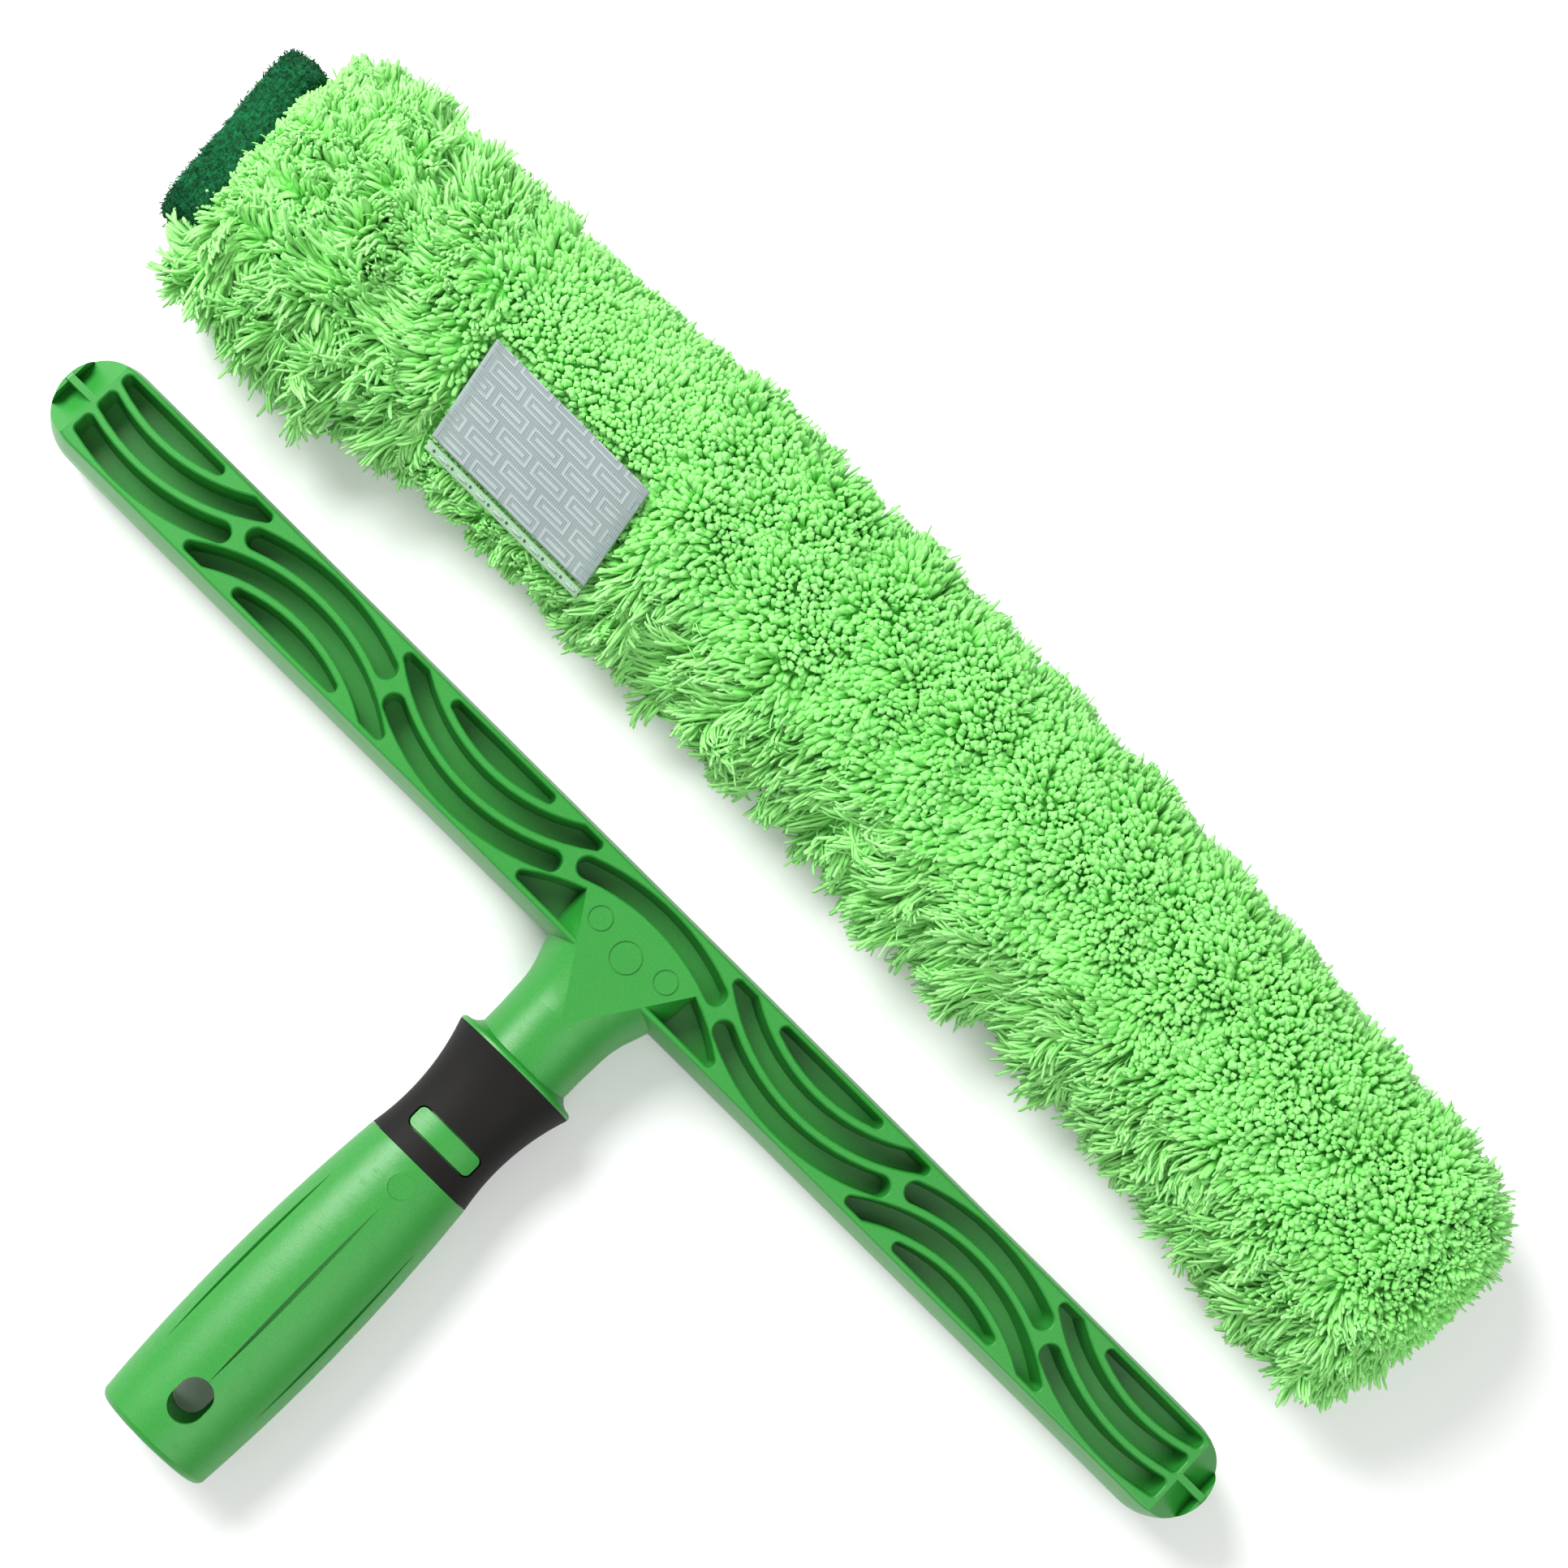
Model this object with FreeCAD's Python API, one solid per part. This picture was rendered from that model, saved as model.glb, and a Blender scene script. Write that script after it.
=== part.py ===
import FreeCAD, Part
import math
import os

# A window scrubber laid out on a table: a plastic T-bar and, beside it, the washer sleeve that is drawn
# over the bar. X runs along the bar, the handle points to -Y, the sleeve lies on the +Y side and Z is up.
# Lengths are in millimetres.

# Bar
bar_length = 350.0
bar_width = 24.4
bar_thick = 24.0
bar_face_width = 21.0
bar_edge_round = 0.8

# Water pockets, sunk in both faces of the bar
pocket_pitch = 50.2
pocket_arc = 47.0
pocket_rib = 1.8
pocket_depth = 10.8
pocket_draft = 3.0
pocket_corner = 1.3
pocket_lip = 0.35
back_rim = 2.6
front_rim = 3.0
front_sweep = 26.2
back_sweep = 21.3
end_rib = 1.1
end_zone = 9.3
end_lip = 2.3
end_lip_drop = 1.6
end_spine = 1.7
end_scoop = 6.5

# Neck, which fans out into the bar
fan_half = 16.6
fan_reach = 24.0
fan_top = 3.5
ridge_half = 0.6
neck_half = 12.25
neck_waist_height = 11.4
neck_stations = (0.0, 9.3, 12.6, 15.5, 19.0)
neck_spread_shares = (1.42, 1.33, 1.255, 1.165, 1.075)
neck_apex_share = 1.018
ring_mark_side = 9.9
ring_mark_drop = 2.5
ring_mark_mid_drop = 4.8
ring_mark_radius = 2.9
ring_mark_mid_radius = 3.8
ring_mark_line = 0.35
ring_mark_depth = 0.25

# Handle, an oval turned about the Y axis; half widths are across X
handle_flat_share = 0.823
flange_y = 38.3
flange_half = 16.2
flange_edge = 1.2
flange_sweep = 4.4
band_end_y = 67.6
band_mid_y = 56.4
band_mid_half = 12.95
band_thick = 2.2
band_gap = 0.12
grip_start_half = 13.9
grip_mid_y = 107.6
grip_mid_half = 15.95
grip_end_half = 14.5
handle_reach = 149.6
handle_end_round = 2.6
handle_end_crown = 1.2

# Plain plate boss, which shows through a window in the soft band
plate_y = 59.9
plate_length = 17.5
plate_width = 5.0
plate_corner = 1.4
plate_proud = 0.3
window_gap = 0.4

# Grip details
socket_radius = 10.2
socket_length = 72.0
lock_hole_y = 135.4
lock_hole_width = 8.2
lock_hole_length = 10.6
groove_start_y = 78.4
groove_length = 52.0
groove_width = 1.1
groove_depth = 0.9
groove_side_angle = 61.0
grip_mark_y = 73.3
grip_mark_depth = 0.3

# Washer sleeve, lying flat and bowed a little away from the bar
sleeve_mid_y = 73.2
bow_radius = 1600.0
sleeve_pad_end = 180.5
sleeve_nose = 186.0
pile_half = 35.5
pile_rise = 24.0
pile_shoulder = 50.0
sleeve_axis_z = 20.0
nose_plan_radius = 56.0
cloth_gap = 0.3
cavity_half = 21.3
cavity_rise = 8.8
backing_thick = 1.5
backing_end = 172.0

# Hills of the pile: each row of them takes its shares in turn along the sleeve, and the front edge of the
# sleeve swells and narrows as it lies
hill_pitch = 21.0
hill_shares = (1.0, 0.945, 0.985, 0.93, 0.99, 0.94, 0.97)
front_places = (-180.0, -143.0, -107.0, -70.0, -52.0, -16.0, 5.0, 39.0, 80.0, 131.0, 186.0)
front_shares = (1.04, 1.08, 1.0, 1.05, 0.95, 1.07, 0.98, 1.05, 0.94, 0.95, 1.0)

# Slit that takes the bar, in the upper side towards the T-bar
slit_y = 56.2
slit_width = 5.6
slit_start = 166.0
slit_past_neck = 4.0
binding_thick = 0.9
binding_height = 4.0

# Closing tab across the slit, with hook and loop tape under it
tab_x = -85.8
hinge_y = 44.2
hinge_z = 35.0
tab_slope = 18.0
tab_width = 46.0
tab_reach = 25.3
tab_lean = 4.2
tab_thick = 1.0
tab_fold_gap = 0.4
tab_rest_gap = 0.2
hem_reach = 2.6
tape_margin = 1.2
tape_past_slit = 0.6
hook_thick = 1.3
loop_thick = 1.5
recess_margin = 3.0
stitch_count = 8
stitch_length = 2.4
stitch_width = 0.7
stitch_rise = 0.35

# Scrub pad sewn across the end of the sleeve
pad_width = 46.0
pad_height = 31.0
pad_thick = 7.8
pad_corner = 8.0
pad_stitch_inset = 3.5
pad_stitch_rows = 9

overrun = 0.5
loft_degree = 2

# Places worked out from the sizes above
half_thick = bar_thick / 2
strip_front = front_rim - bar_width / 2
strip_back = bar_width / 2 - back_rim
strip_mid = (strip_front + strip_back) / 2
pocket_width = (strip_back - strip_front - 2 * pocket_rib) / 3
inner_arc = pocket_arc - pocket_width / 2
outer_arc = pocket_arc + pocket_width / 2
end_wall = bar_length / 2 - end_zone - end_rib
side_groups = math.floor(end_wall / pocket_pitch)
slit_far = slit_y + slit_width / 2 + binding_thick
tape_start = (slit_far - hinge_y) / math.cos(math.radians(tab_slope)) + tape_past_slit
tape_floor = -tab_thick - hook_thick - tab_rest_gap - loop_thick
lip_floor = -tab_thick - tab_rest_gap
bow_centre = FreeCAD.Vector(0, sleeve_mid_y - bow_radius, 0)
up = FreeCAD.Vector(0, 0, 1)
along_y = FreeCAD.Vector(0, 1, 0)


def point(x, y, z=0):
    return FreeCAD.Vector(x, y, z)


def line(start, end):
    return Part.LineSegment(start, end).toShape()


def arc(start, middle, end):
    return Part.Arc(start, middle, end).toShape()


def face_of(edges):
    return Part.Face(Part.Wire(edges))


def block(x0, x1, y0, y1, z0, z1):
    return Part.makeBox(x1 - x0, y1 - y0, z1 - z0, point(x0, y0, z0))


def rounded_plate(length, width, corner):
    # A flat rectangle about the origin with round corners, as a wire in the XY plane
    x = length / 2
    y = width / 2
    slack = corner * (1 - math.sqrt(2) / 2)
    edges = []
    for sx, sy in ((1, 1), (-1, 1), (-1, -1), (1, -1)):
        side = point(sx * x, sy * (y - corner))
        end = point(sx * (x - corner), sy * y)
        first, last = (side, end) if sx * sy > 0 else (end, side)
        edges.append(arc(first, point(sx * (x - slack), sy * (y - slack)), last))
    for i in range(4):
        edges.append(line(edges[i].Vertexes[-1].Point, edges[(i + 1) % 4].Vertexes[0].Point))
    return Part.Wire(Part.__sortEdges__(edges))


def mirrored_pair(shape):
    # The shape and its mirror image in the T-bar's middle plane
    return [shape, shape.mirror(point(0, 0), up)]


# Bar

def bar_section():
    # Flat top and bottom with barrelled sides, in the YZ plane
    y = bar_face_width / 2
    side = bar_width / 2
    z = half_thick
    return face_of([
        line(point(0, -y, z), point(0, y, z)),
        arc(point(0, y, z), point(0, side), point(0, y, -z)),
        line(point(0, y, -z), point(0, -y, -z)),
        arc(point(0, -y, -z), point(0, -side), point(0, -y, z)),
    ])


def plain_bar():
    # The section run along X, with the same section turned half round at each end
    straight = bar_length / 2 - bar_width / 2
    section = bar_section()
    bar = section.translated(point(-straight, 0)).extrude(point(2 * straight, 0))
    half = section.common(block(-overrun, overrun, 0, bar_width, -bar_thick, bar_thick))
    for end in (-1, 1):
        turned = half.translated(point(end * straight, 0))
        bar = bar.fuse(turned.revolve(point(end * straight, 0), up, 360))
    bar = bar.removeSplitter()
    rims = [e for e in bar.Edges if abs(abs(e.CenterOfMass.z) - half_thick) < bar_edge_round / 2]
    return bar.makeFillet(bar_edge_round, rims)


def disc(x, y, radius):
    return face_of([Part.makeCircle(radius, point(x, y))])


def round_band(x, side, sweep):
    # Core of a band along an arc, between the second rib and the far rim, with round ends
    low = outer_arc + pocket_rib + pocket_corner
    tip = pocket_width / 2 - pocket_corner
    turn = math.radians(sweep)
    centre_y = strip_mid + side * pocket_arc

    def polar(radius, angle, push=0):
        return point(
            x + radius * math.sin(angle) + push * math.cos(angle),
            centre_y - side * (radius * math.cos(angle) - push * math.sin(angle)),
        )

    high = low + 2 * tip
    return face_of([
        arc(polar(high, -turn), polar(high, 0), polar(high, turn)),
        arc(polar(high, turn), polar(low + tip, turn, tip), polar(low, turn)),
        arc(polar(low, turn), polar(low, 0), polar(low, -turn)),
        arc(polar(low, -turn), polar(low + tip, -turn, -tip), polar(high, -turn)),
    ])


def pocket_cores():
    # Pocket outlines of one face, each drawn in from its walls by the corner radius, so that growing one by
    # that radius rounds its corners; the arcs bulge to front and back in turn
    reach = end_wall - pocket_corner
    front = strip_front + pocket_corner
    strip = Part.makePlane(2 * reach, strip_back - pocket_corner - front, point(-reach, front))
    length = Part.makePlane(2 * reach, 2 * bar_width, point(-reach, -bar_width))
    cores = []
    for group in range(-side_groups, side_groups + 1):
        side = 1 if group % 2 else -1
        x = group * pocket_pitch
        y = strip_mid + side * pocket_arc
        cores.append(round_band(x, side, front_sweep if side > 0 else back_sweep).common(length))
        under = disc(x, y, outer_arc - pocket_corner).common(strip)
        if group == 0:
            cores.append(under)
            continue
        cores.append(under.cut(disc(x, y, inner_arc + pocket_corner)))
        cores.append(disc(x, y, inner_arc - pocket_rib - pocket_corner).common(strip))
    return [face.OuterWire for core in cores for face in core.Faces]


def pocket_cutter(core):
    # Drafted pocket with a bevelled mouth, lofted through three outlines grown from its core
    taper = (pocket_depth - pocket_lip) * math.tan(math.radians(pocket_draft))
    levels = (
        (half_thick - pocket_depth, pocket_corner - taper),
        (half_thick - pocket_lip, pocket_corner),
        (half_thick + overrun, pocket_corner + pocket_lip + overrun),
    )
    wires = [core.makeOffset2D(grow).translated(point(0, 0, z)) for z, grow in levels]
    return Part.makeLoft(wires, True, True)


def end_scoops():
    # Two scoops in each end, either side of a spine, sloping down from the end rib to a low lip
    inner = end_wall + end_rib
    outer = bar_length / 2 - end_lip
    beyond = bar_length / 2 + overrun
    corners = [
        point(inner, 0, half_thick),
        point(outer, 0, half_thick - end_scoop),
        point(outer, 0, half_thick - end_lip_drop),
        point(beyond, 0, half_thick - end_lip_drop),
        point(beyond, 0, half_thick + overrun),
        point(inner, 0, half_thick + overrun),
    ]
    slope = Part.Face(Part.makePolygon(corners + corners[:1]))
    scoop = slope.translated(point(0, end_spine / 2)).extrude(point(0, bar_width))
    pair = [scoop, scoop.mirror(point(0, 0), along_y)]
    return pair + [s.mirror(point(0, 0), point(1, 0)) for s in pair]


def bar_with_pockets():
    cutters = [pocket_cutter(core) for core in pocket_cores()] + end_scoops()
    return plain_bar().cut([c for cutter in cutters for c in mirrored_pair(cutter)])


# Neck and handle

def neck_section(y, flat, half, height):
    # Flat top and bottom of a given half width, joined by arcs out to the half width at the middle
    return Part.Wire([
        line(point(-flat, y, height), point(flat, y, height)),
        arc(point(flat, y, height), point(half, y), point(flat, y, -height)),
        line(point(flat, y, -height), point(-flat, y, -height)),
        arc(point(-flat, y, -height), point(-half, y), point(-flat, y, height)),
    ])


def fan_flat(y):
    # Half width of the fan's flat, which runs straight from the bar to its point at the neck's ridge
    return ridge_half + (fan_half - ridge_half) * (fan_reach + y) / fan_reach


def neck():
    apex = neck_section(-fan_reach, ridge_half, neck_half * neck_apex_share, half_thick)
    head = neck_section(fan_top, fan_flat(fan_top), fan_flat(fan_top) + ridge_half, half_thick)
    flare = [
        neck_section(-y, fan_flat(-y), neck_half * share, half_thick)
        for y, share in zip(neck_stations, neck_spread_shares)
    ]
    waist_y = (fan_reach + flange_y - flange_sweep) / 2
    shank = [
        neck_section(-y, ridge_half, neck_half, neck_waist_height)
        for y in (waist_y, flange_y - flange_edge / 2)
    ]
    fan = Part.makeLoft([head] + flare + [apex], True, False, False, loft_degree)
    stem = Part.makeLoft([apex] + shank, True, False)
    clear = Part.makeCylinder(
        outer_arc + pocket_rib / 2,
        2 * bar_thick,
        point(0, strip_mid - pocket_arc, -bar_thick),
    )
    return fan.common(clear).fuse(stem)


def turned_oval(edges):
    # A profile turned about the Y axis and flattened to the handle's oval
    turned = face_of(edges).revolve(point(0, 0), along_y, 360)
    flatten = FreeCAD.Matrix()
    flatten.scale(1, 1, handle_flat_share)
    return turned.transformGeometry(flatten)


def band_arc(inset):
    # The waisted line of the soft band, moved in by a thickness
    return Part.Arc(
        point(flange_half - inset, -flange_y),
        point(band_mid_half - inset, -band_mid_y),
        point(grip_start_half - inset, -band_end_y),
    )


def grip_arc():
    return Part.Arc(
        point(grip_start_half, -band_end_y),
        point(grip_mid_half, -grip_mid_y),
        point(grip_end_half, handle_end_round - handle_reach),
    )


def grip_half_width(y):
    # Half width of the grip at a place along the handle
    circle = grip_arc().toShape().Curve
    return circle.Center.x + math.sqrt(circle.Radius ** 2 - (y - circle.Center.y) ** 2)


def handle_profile():
    core = band_arc(band_thick)
    flange_top = flange_edge - flange_y
    sweep_start = point(neck_half - ridge_half, flange_sweep - flange_y)
    flange_rim = point(flange_half - flange_edge / 2, flange_top)
    sweep_corner = (sweep_start + flange_rim) / 2 - point(flange_edge / 2, flange_edge / 2)
    end_corner = point(grip_end_half - handle_end_round, handle_end_crown - handle_reach)
    end_crown = point(end_corner.x / 2, handle_end_crown / 4 - handle_reach)
    end_middle = point(0, -handle_reach)
    end_share = math.sqrt(2) / 2
    return [
        line(point(0, sweep_start.y), sweep_start),
        arc(sweep_start, sweep_corner, flange_rim),
        line(flange_rim, point(flange_half, flange_top - flange_edge / 2)),
        line(point(flange_half, flange_top - flange_edge / 2), point(flange_half, -flange_y)),
        line(point(flange_half, -flange_y), core.StartPoint),
        core.toShape(),
        line(core.EndPoint, grip_arc().StartPoint),
        grip_arc().toShape(),
        arc(
            grip_arc().EndPoint,
            point(
                grip_end_half - handle_end_round * (1 - end_share),
                handle_end_round - handle_reach - (handle_end_round - handle_end_crown) * end_share,
            ),
            end_corner,
        ),
        arc(end_corner, end_crown, end_middle),
        line(end_middle, point(0, sweep_start.y)),
    ]


def plate_prism(grow):
    # The plate's outline carried right through the handle
    wire = rounded_plate(plate_length + 2 * grow, plate_width + 2 * grow, plate_corner + grow)
    face = Part.Face(wire).translated(point(0, -plate_y, -bar_width))
    return face.extrude(point(0, 0, 2 * bar_width))


def plate_boss():
    # The plates stand a little proud of the band, and follow its waist
    skin = band_arc(-plate_proud)
    waist = turned_oval([
        line(point(0, -flange_y), skin.StartPoint),
        skin.toShape(),
        line(skin.EndPoint, point(0, -band_end_y)),
        line(point(0, -band_end_y), point(0, -flange_y)),
    ])
    return plate_prism(0).common(waist)


def oval_radius(half, angle):
    # Distance from the handle's axis to its oval surface, at an angle from straight up
    turn = math.radians(angle)
    return 1 / math.hypot(math.sin(turn) / half, math.cos(turn) / (half * handle_flat_share))


def grip_grooves():
    # Slim spindle-shaped grooves, which run out where the grip's swell falls away
    end_y = groove_start_y + groove_length
    middle_y = groove_start_y + groove_length / 2
    spindle = face_of([
        arc(point(0, -groove_start_y), point(groove_width / 2, -middle_y), point(0, -end_y)),
        arc(point(0, -end_y), point(-groove_width / 2, -middle_y), point(0, -groove_start_y)),
    ])
    grooves = []
    for angle in (-groove_side_angle, 0, groove_side_angle):
        floor = oval_radius(grip_mid_half, angle) - groove_depth
        groove = spindle.translated(point(0, 0, floor)).extrude(point(0, 0, groove_depth + overrun))
        grooves += mirrored_pair(groove.rotate(point(0, 0), along_y, angle))
    return grooves


def lock_hole():
    # Long round-ended hole through both walls of the socket
    x = lock_hole_width / 2
    y = lock_hole_length / 2
    straight = y - x
    face = face_of([
        arc(point(x, straight), point(0, y), point(-x, straight)),
        line(point(-x, straight), point(-x, -straight)),
        arc(point(-x, -straight), point(0, -y), point(x, -straight)),
        line(point(x, -straight), point(x, straight)),
    ])
    return face.translated(point(0, -lock_hole_y, -bar_width)).extrude(point(0, 0, 2 * bar_width))


def ring_mark(x, y, radius):
    outer = Part.makeCylinder(radius, bar_thick, point(x, y, half_thick - ring_mark_depth))
    return outer.cut(Part.makeCylinder(radius - ring_mark_line, 2 * bar_thick, point(x, y)))


def t_bar():
    handle = turned_oval(handle_profile())
    solid = bar_with_pockets().fuse([neck(), handle, plate_boss()]).removeSplitter()
    socket = Part.makeCylinder(
        socket_radius,
        socket_length + overrun,
        point(0, -handle_reach - overrun),
        along_y,
    )
    mark_z = grip_half_width(-grip_mark_y) * handle_flat_share - grip_mark_depth
    marks = [
        ring_mark(-ring_mark_side, -ring_mark_drop, ring_mark_radius),
        ring_mark(ring_mark_side, -ring_mark_drop, ring_mark_radius),
        ring_mark(0, -ring_mark_mid_drop, ring_mark_mid_radius),
        Part.makeCylinder(ring_mark_radius, bar_thick, point(0, -grip_mark_y, mark_z)),
    ]
    pairs = [m for mark in marks for m in mirrored_pair(mark)]
    return solid.cut([socket, lock_hole()] + grip_grooves() + pairs)


def soft_band():
    inner = band_arc(band_thick)
    outer = band_arc(0)
    band = turned_oval([
        line(inner.StartPoint, outer.StartPoint),
        outer.toShape(),
        line(outer.EndPoint, inner.EndPoint),
        inner.toShape(),
    ])
    trim = block(-bar_width, bar_width, band_gap - band_end_y, -flange_y - band_gap, -bar_width, bar_width)
    return band.common(trim).cut(plate_prism(window_gap))


# Sleeve

def on_bow(shape, place):
    # Moves a shape made at the middle of the sleeve to a place along its bow; positive is towards +X
    return shape.rotate(bow_centre, up, -math.degrees(place / bow_radius))


def bowed(face, start, end):
    # A section carried along the bow from one place to another
    first = on_bow(face, start)
    return first.revolve(bow_centre, up, -math.degrees((end - start) / bow_radius))


def oval_section(half, rise):
    oval = Part.Ellipse(
        point(0, sleeve_mid_y + half, sleeve_axis_z),
        point(0, sleeve_mid_y, sleeve_axis_z + rise),
        point(0, sleeve_mid_y, sleeve_axis_z),
    )
    return face_of([oval.toShape()])


def front_share(place):
    # Swell of the sleeve's front edge at a place along it, straight between the places given
    spans = zip(front_places, front_places[1:], front_shares, front_shares[1:])
    for start, end, first, last in spans:
        if start <= place <= end:
            return first + (last - first) * (place - start) / (end - start)
    return front_shares[0] if place < front_places[0] else front_shares[-1]


def hill_share(row, station, place):
    # Height of a row's hill or hollow at a station; the rows are out of step, and the pile is level by the tab
    level = tab_width / 2 + recess_margin + hill_pitch / 2
    if abs(place - tab_x) < level:
        return 1
    return hill_shares[(station + 3 * row) % len(hill_shares)]


def pile_section(station, place):
    # Flat where it lies, with a round front and back, two shoulders and a crown, each on a row of hills
    front, front_top, crown, back_top, back = [hill_share(row, station, place) for row in range(5)]
    turn = math.radians(pile_shoulder)
    foot_share = math.sqrt(1 - (sleeve_axis_z / pile_rise) ** 2)
    front_half = pile_half * front_share(place)

    def spot(out, z):
        return point(0, sleeve_mid_y + out, sleeve_axis_z + z)

    front_foot = spot(-front_half * foot_share, -sleeve_axis_z)
    front_side = spot(-front_half * front, 0)
    front_shoulder = spot(-front_half * front_top * math.sin(turn), pile_rise * front_top * math.cos(turn))
    top = spot(0, pile_rise * crown)
    back_shoulder = spot(pile_half * back_top * math.sin(turn), pile_rise * back_top * math.cos(turn))
    back_side = spot(pile_half * back, 0)
    back_foot = spot(pile_half * foot_share, -sleeve_axis_z)
    wire = Part.Wire([
        arc(front_foot, front_side, front_shoulder),
        arc(front_shoulder, top, back_shoulder),
        arc(back_shoulder, back_side, back_foot),
        line(back_foot, front_foot),
    ])
    return on_bow(wire, place)


def pile_body():
    # One smooth skin through sections along the bow, a hill or a hollow at each
    count = round(2 * (sleeve_pad_end + sleeve_nose) / hill_pitch)
    step = (sleeve_pad_end + sleeve_nose) / count
    sections = [pile_section(i, i * step - sleeve_pad_end) for i in range(count + 1)]
    return Part.makeLoft(sections, True, False, False, loft_degree)


def slit_cut(grow):
    # Straight upright cut from the hollow out through the top of the sleeve
    return block(
        -slit_start - grow,
        neck_half + slit_past_neck + grow,
        slit_y - slit_width / 2 - grow,
        slit_y + slit_width / 2 + grow,
        sleeve_axis_z,
        sleeve_axis_z + 2 * pile_rise,
    )


def tab_frame(shape):
    # Lays a shape made flat, with X along the fold, Y up the tab and Z off its face, on the sleeve's slope
    tilted = shape.rotate(point(0, 0), point(1, 0), tab_slope)
    return tilted.translated(point(tab_x, hinge_y, hinge_z))


def flap_plate(near, far, margin, low, high):
    # A leaning strip of the tab, from near to far up its slope
    half = tab_width / 2 - margin
    corners = [
        point(sx * half - tab_lean * y / tab_reach, y, low)
        for sx, y in ((-1, near), (1, near), (1, far), (-1, far))
    ]
    wire = Part.makePolygon(corners + corners[:1])
    return tab_frame(Part.Face(wire).extrude(point(0, 0, high - low)))


def tab_recess():
    # Room in the pile for the tab and the tapes, shallower on the hinge side of the slit
    lip_end = (slit_y - hinge_y) / math.cos(math.radians(tab_slope))
    far = tab_reach + recess_margin
    near = -hem_reach - recess_margin
    shallow = flap_plate(near, far, -recess_margin, lip_floor, pile_rise)
    deep = flap_plate(lip_end, far, -recess_margin, tape_floor, pile_rise)
    return [shallow, deep]


def sleeve_pile():
    # The pile's outer shape, rounded at the nose and hollow inside
    tip = block(
        -nose_plan_radius,
        overrun,
        sleeve_mid_y - 2 * pile_half,
        sleeve_mid_y + 2 * pile_half,
        -pile_rise,
        sleeve_axis_z + 2 * pile_rise,
    )
    plan = Part.makeCylinder(
        nose_plan_radius,
        4 * pile_rise,
        point(-nose_plan_radius, sleeve_mid_y, -pile_rise),
    )
    side = Part.makeCylinder(
        pile_rise,
        4 * pile_half,
        point(-pile_rise, sleeve_mid_y - 2 * pile_half, sleeve_axis_z),
        along_y,
    )
    nose_edge = tip.cut(plan)
    nose_round = block(
        -pile_rise,
        overrun,
        sleeve_mid_y - 2 * pile_half,
        sleeve_mid_y + 2 * pile_half,
        -pile_rise,
        sleeve_axis_z + 2 * pile_rise,
    ).cut(side)
    nose_cuts = [on_bow(cutter, sleeve_nose) for cutter in (nose_edge, nose_round)]
    hollow_half = cavity_half + backing_thick + cloth_gap
    hollow_rise = cavity_rise + backing_thick + cloth_gap
    hollow = bowed(
        oval_section(hollow_half, hollow_rise),
        -sleeve_pad_end - overrun,
        backing_end + cloth_gap,
    )
    return pile_body().cut([hollow, slit_cut(binding_thick)] + nose_cuts + tab_recess())


def sleeve_backing():
    # Knitted tube inside the pile, open along the slit and sewn shut at the nose
    tube = bowed(
        oval_section(cavity_half + backing_thick, cavity_rise + backing_thick),
        -sleeve_pad_end,
        backing_end,
    )
    hollow = bowed(
        oval_section(cavity_half, cavity_rise),
        -sleeve_pad_end - overrun,
        backing_end - backing_thick,
    )
    return tube.cut([hollow, slit_cut(binding_thick)])


def slit_binding():
    # Tape along both lips of the slit, down to the tube's outer face
    outer = slit_cut(binding_thick)
    inner = slit_cut(0)
    tube = bowed(
        oval_section(cavity_half + backing_thick, cavity_rise + backing_thick),
        -sleeve_pad_end,
        backing_end,
    )
    roof = sleeve_axis_z + cavity_rise + backing_thick
    level = block(
        -bar_length,
        bar_length,
        0,
        2 * sleeve_mid_y,
        sleeve_axis_z,
        roof + binding_height,
    )
    ends = block(
        -slit_start,
        neck_half + slit_past_neck,
        0,
        2 * sleeve_mid_y,
        0,
        2 * sleeve_mid_y,
    )
    tape = outer.cut(inner).common(level).common(ends).cut(tube)
    return Part.makeCompound(tape.Solids)


def scrub_pad():
    # Thick abrasive plate standing across the end of the tube
    wire = rounded_plate(pad_width, pad_height, pad_corner)
    plate = Part.Face(wire).extrude(point(0, 0, pad_thick))
    plate = plate.rotate(point(0, 0), point(1, 0), 90).rotate(point(0, 0), up, -90)
    return on_bow(plate.translated(point(0, sleeve_mid_y, sleeve_axis_z)), -sleeve_pad_end)


def pad_stitches():
    # Upright stitches in two rows on the pad's outer face
    pitch = (pad_width - 2 * pad_corner) / (pad_stitch_rows - 1)
    solids = []
    for row in (-1, 1):
        z = sleeve_axis_z + row * (pad_height / 2 - pad_stitch_inset)
        for i in range(pad_stitch_rows):
            y = sleeve_mid_y + pad_corner - pad_width / 2 + i * pitch
            stitch = block(
                -pad_thick - stitch_rise,
                -pad_thick,
                y - stitch_length / 2,
                y + stitch_length / 2,
                z - stitch_width / 2,
                z + stitch_width / 2,
            )
            solids.append(on_bow(stitch, -sleeve_pad_end))
    return Part.makeCompound(solids)


def closure_tab():
    return flap_plate(tab_fold_gap, tab_reach, 0, -tab_thick, 0)


def hook_tape():
    return flap_plate(tape_start, tab_reach - tape_margin, tape_margin, -tab_thick - hook_thick, -tab_thick)


def loop_tape():
    return flap_plate(tape_start, tab_reach - tape_margin, tape_margin, tape_floor, tape_floor + loop_thick)


def tab_hem():
    # Sewn edge of the tab, on the lip below the fold
    return flap_plate(-hem_reach, -tab_fold_gap, 0, lip_floor, 0)


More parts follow.
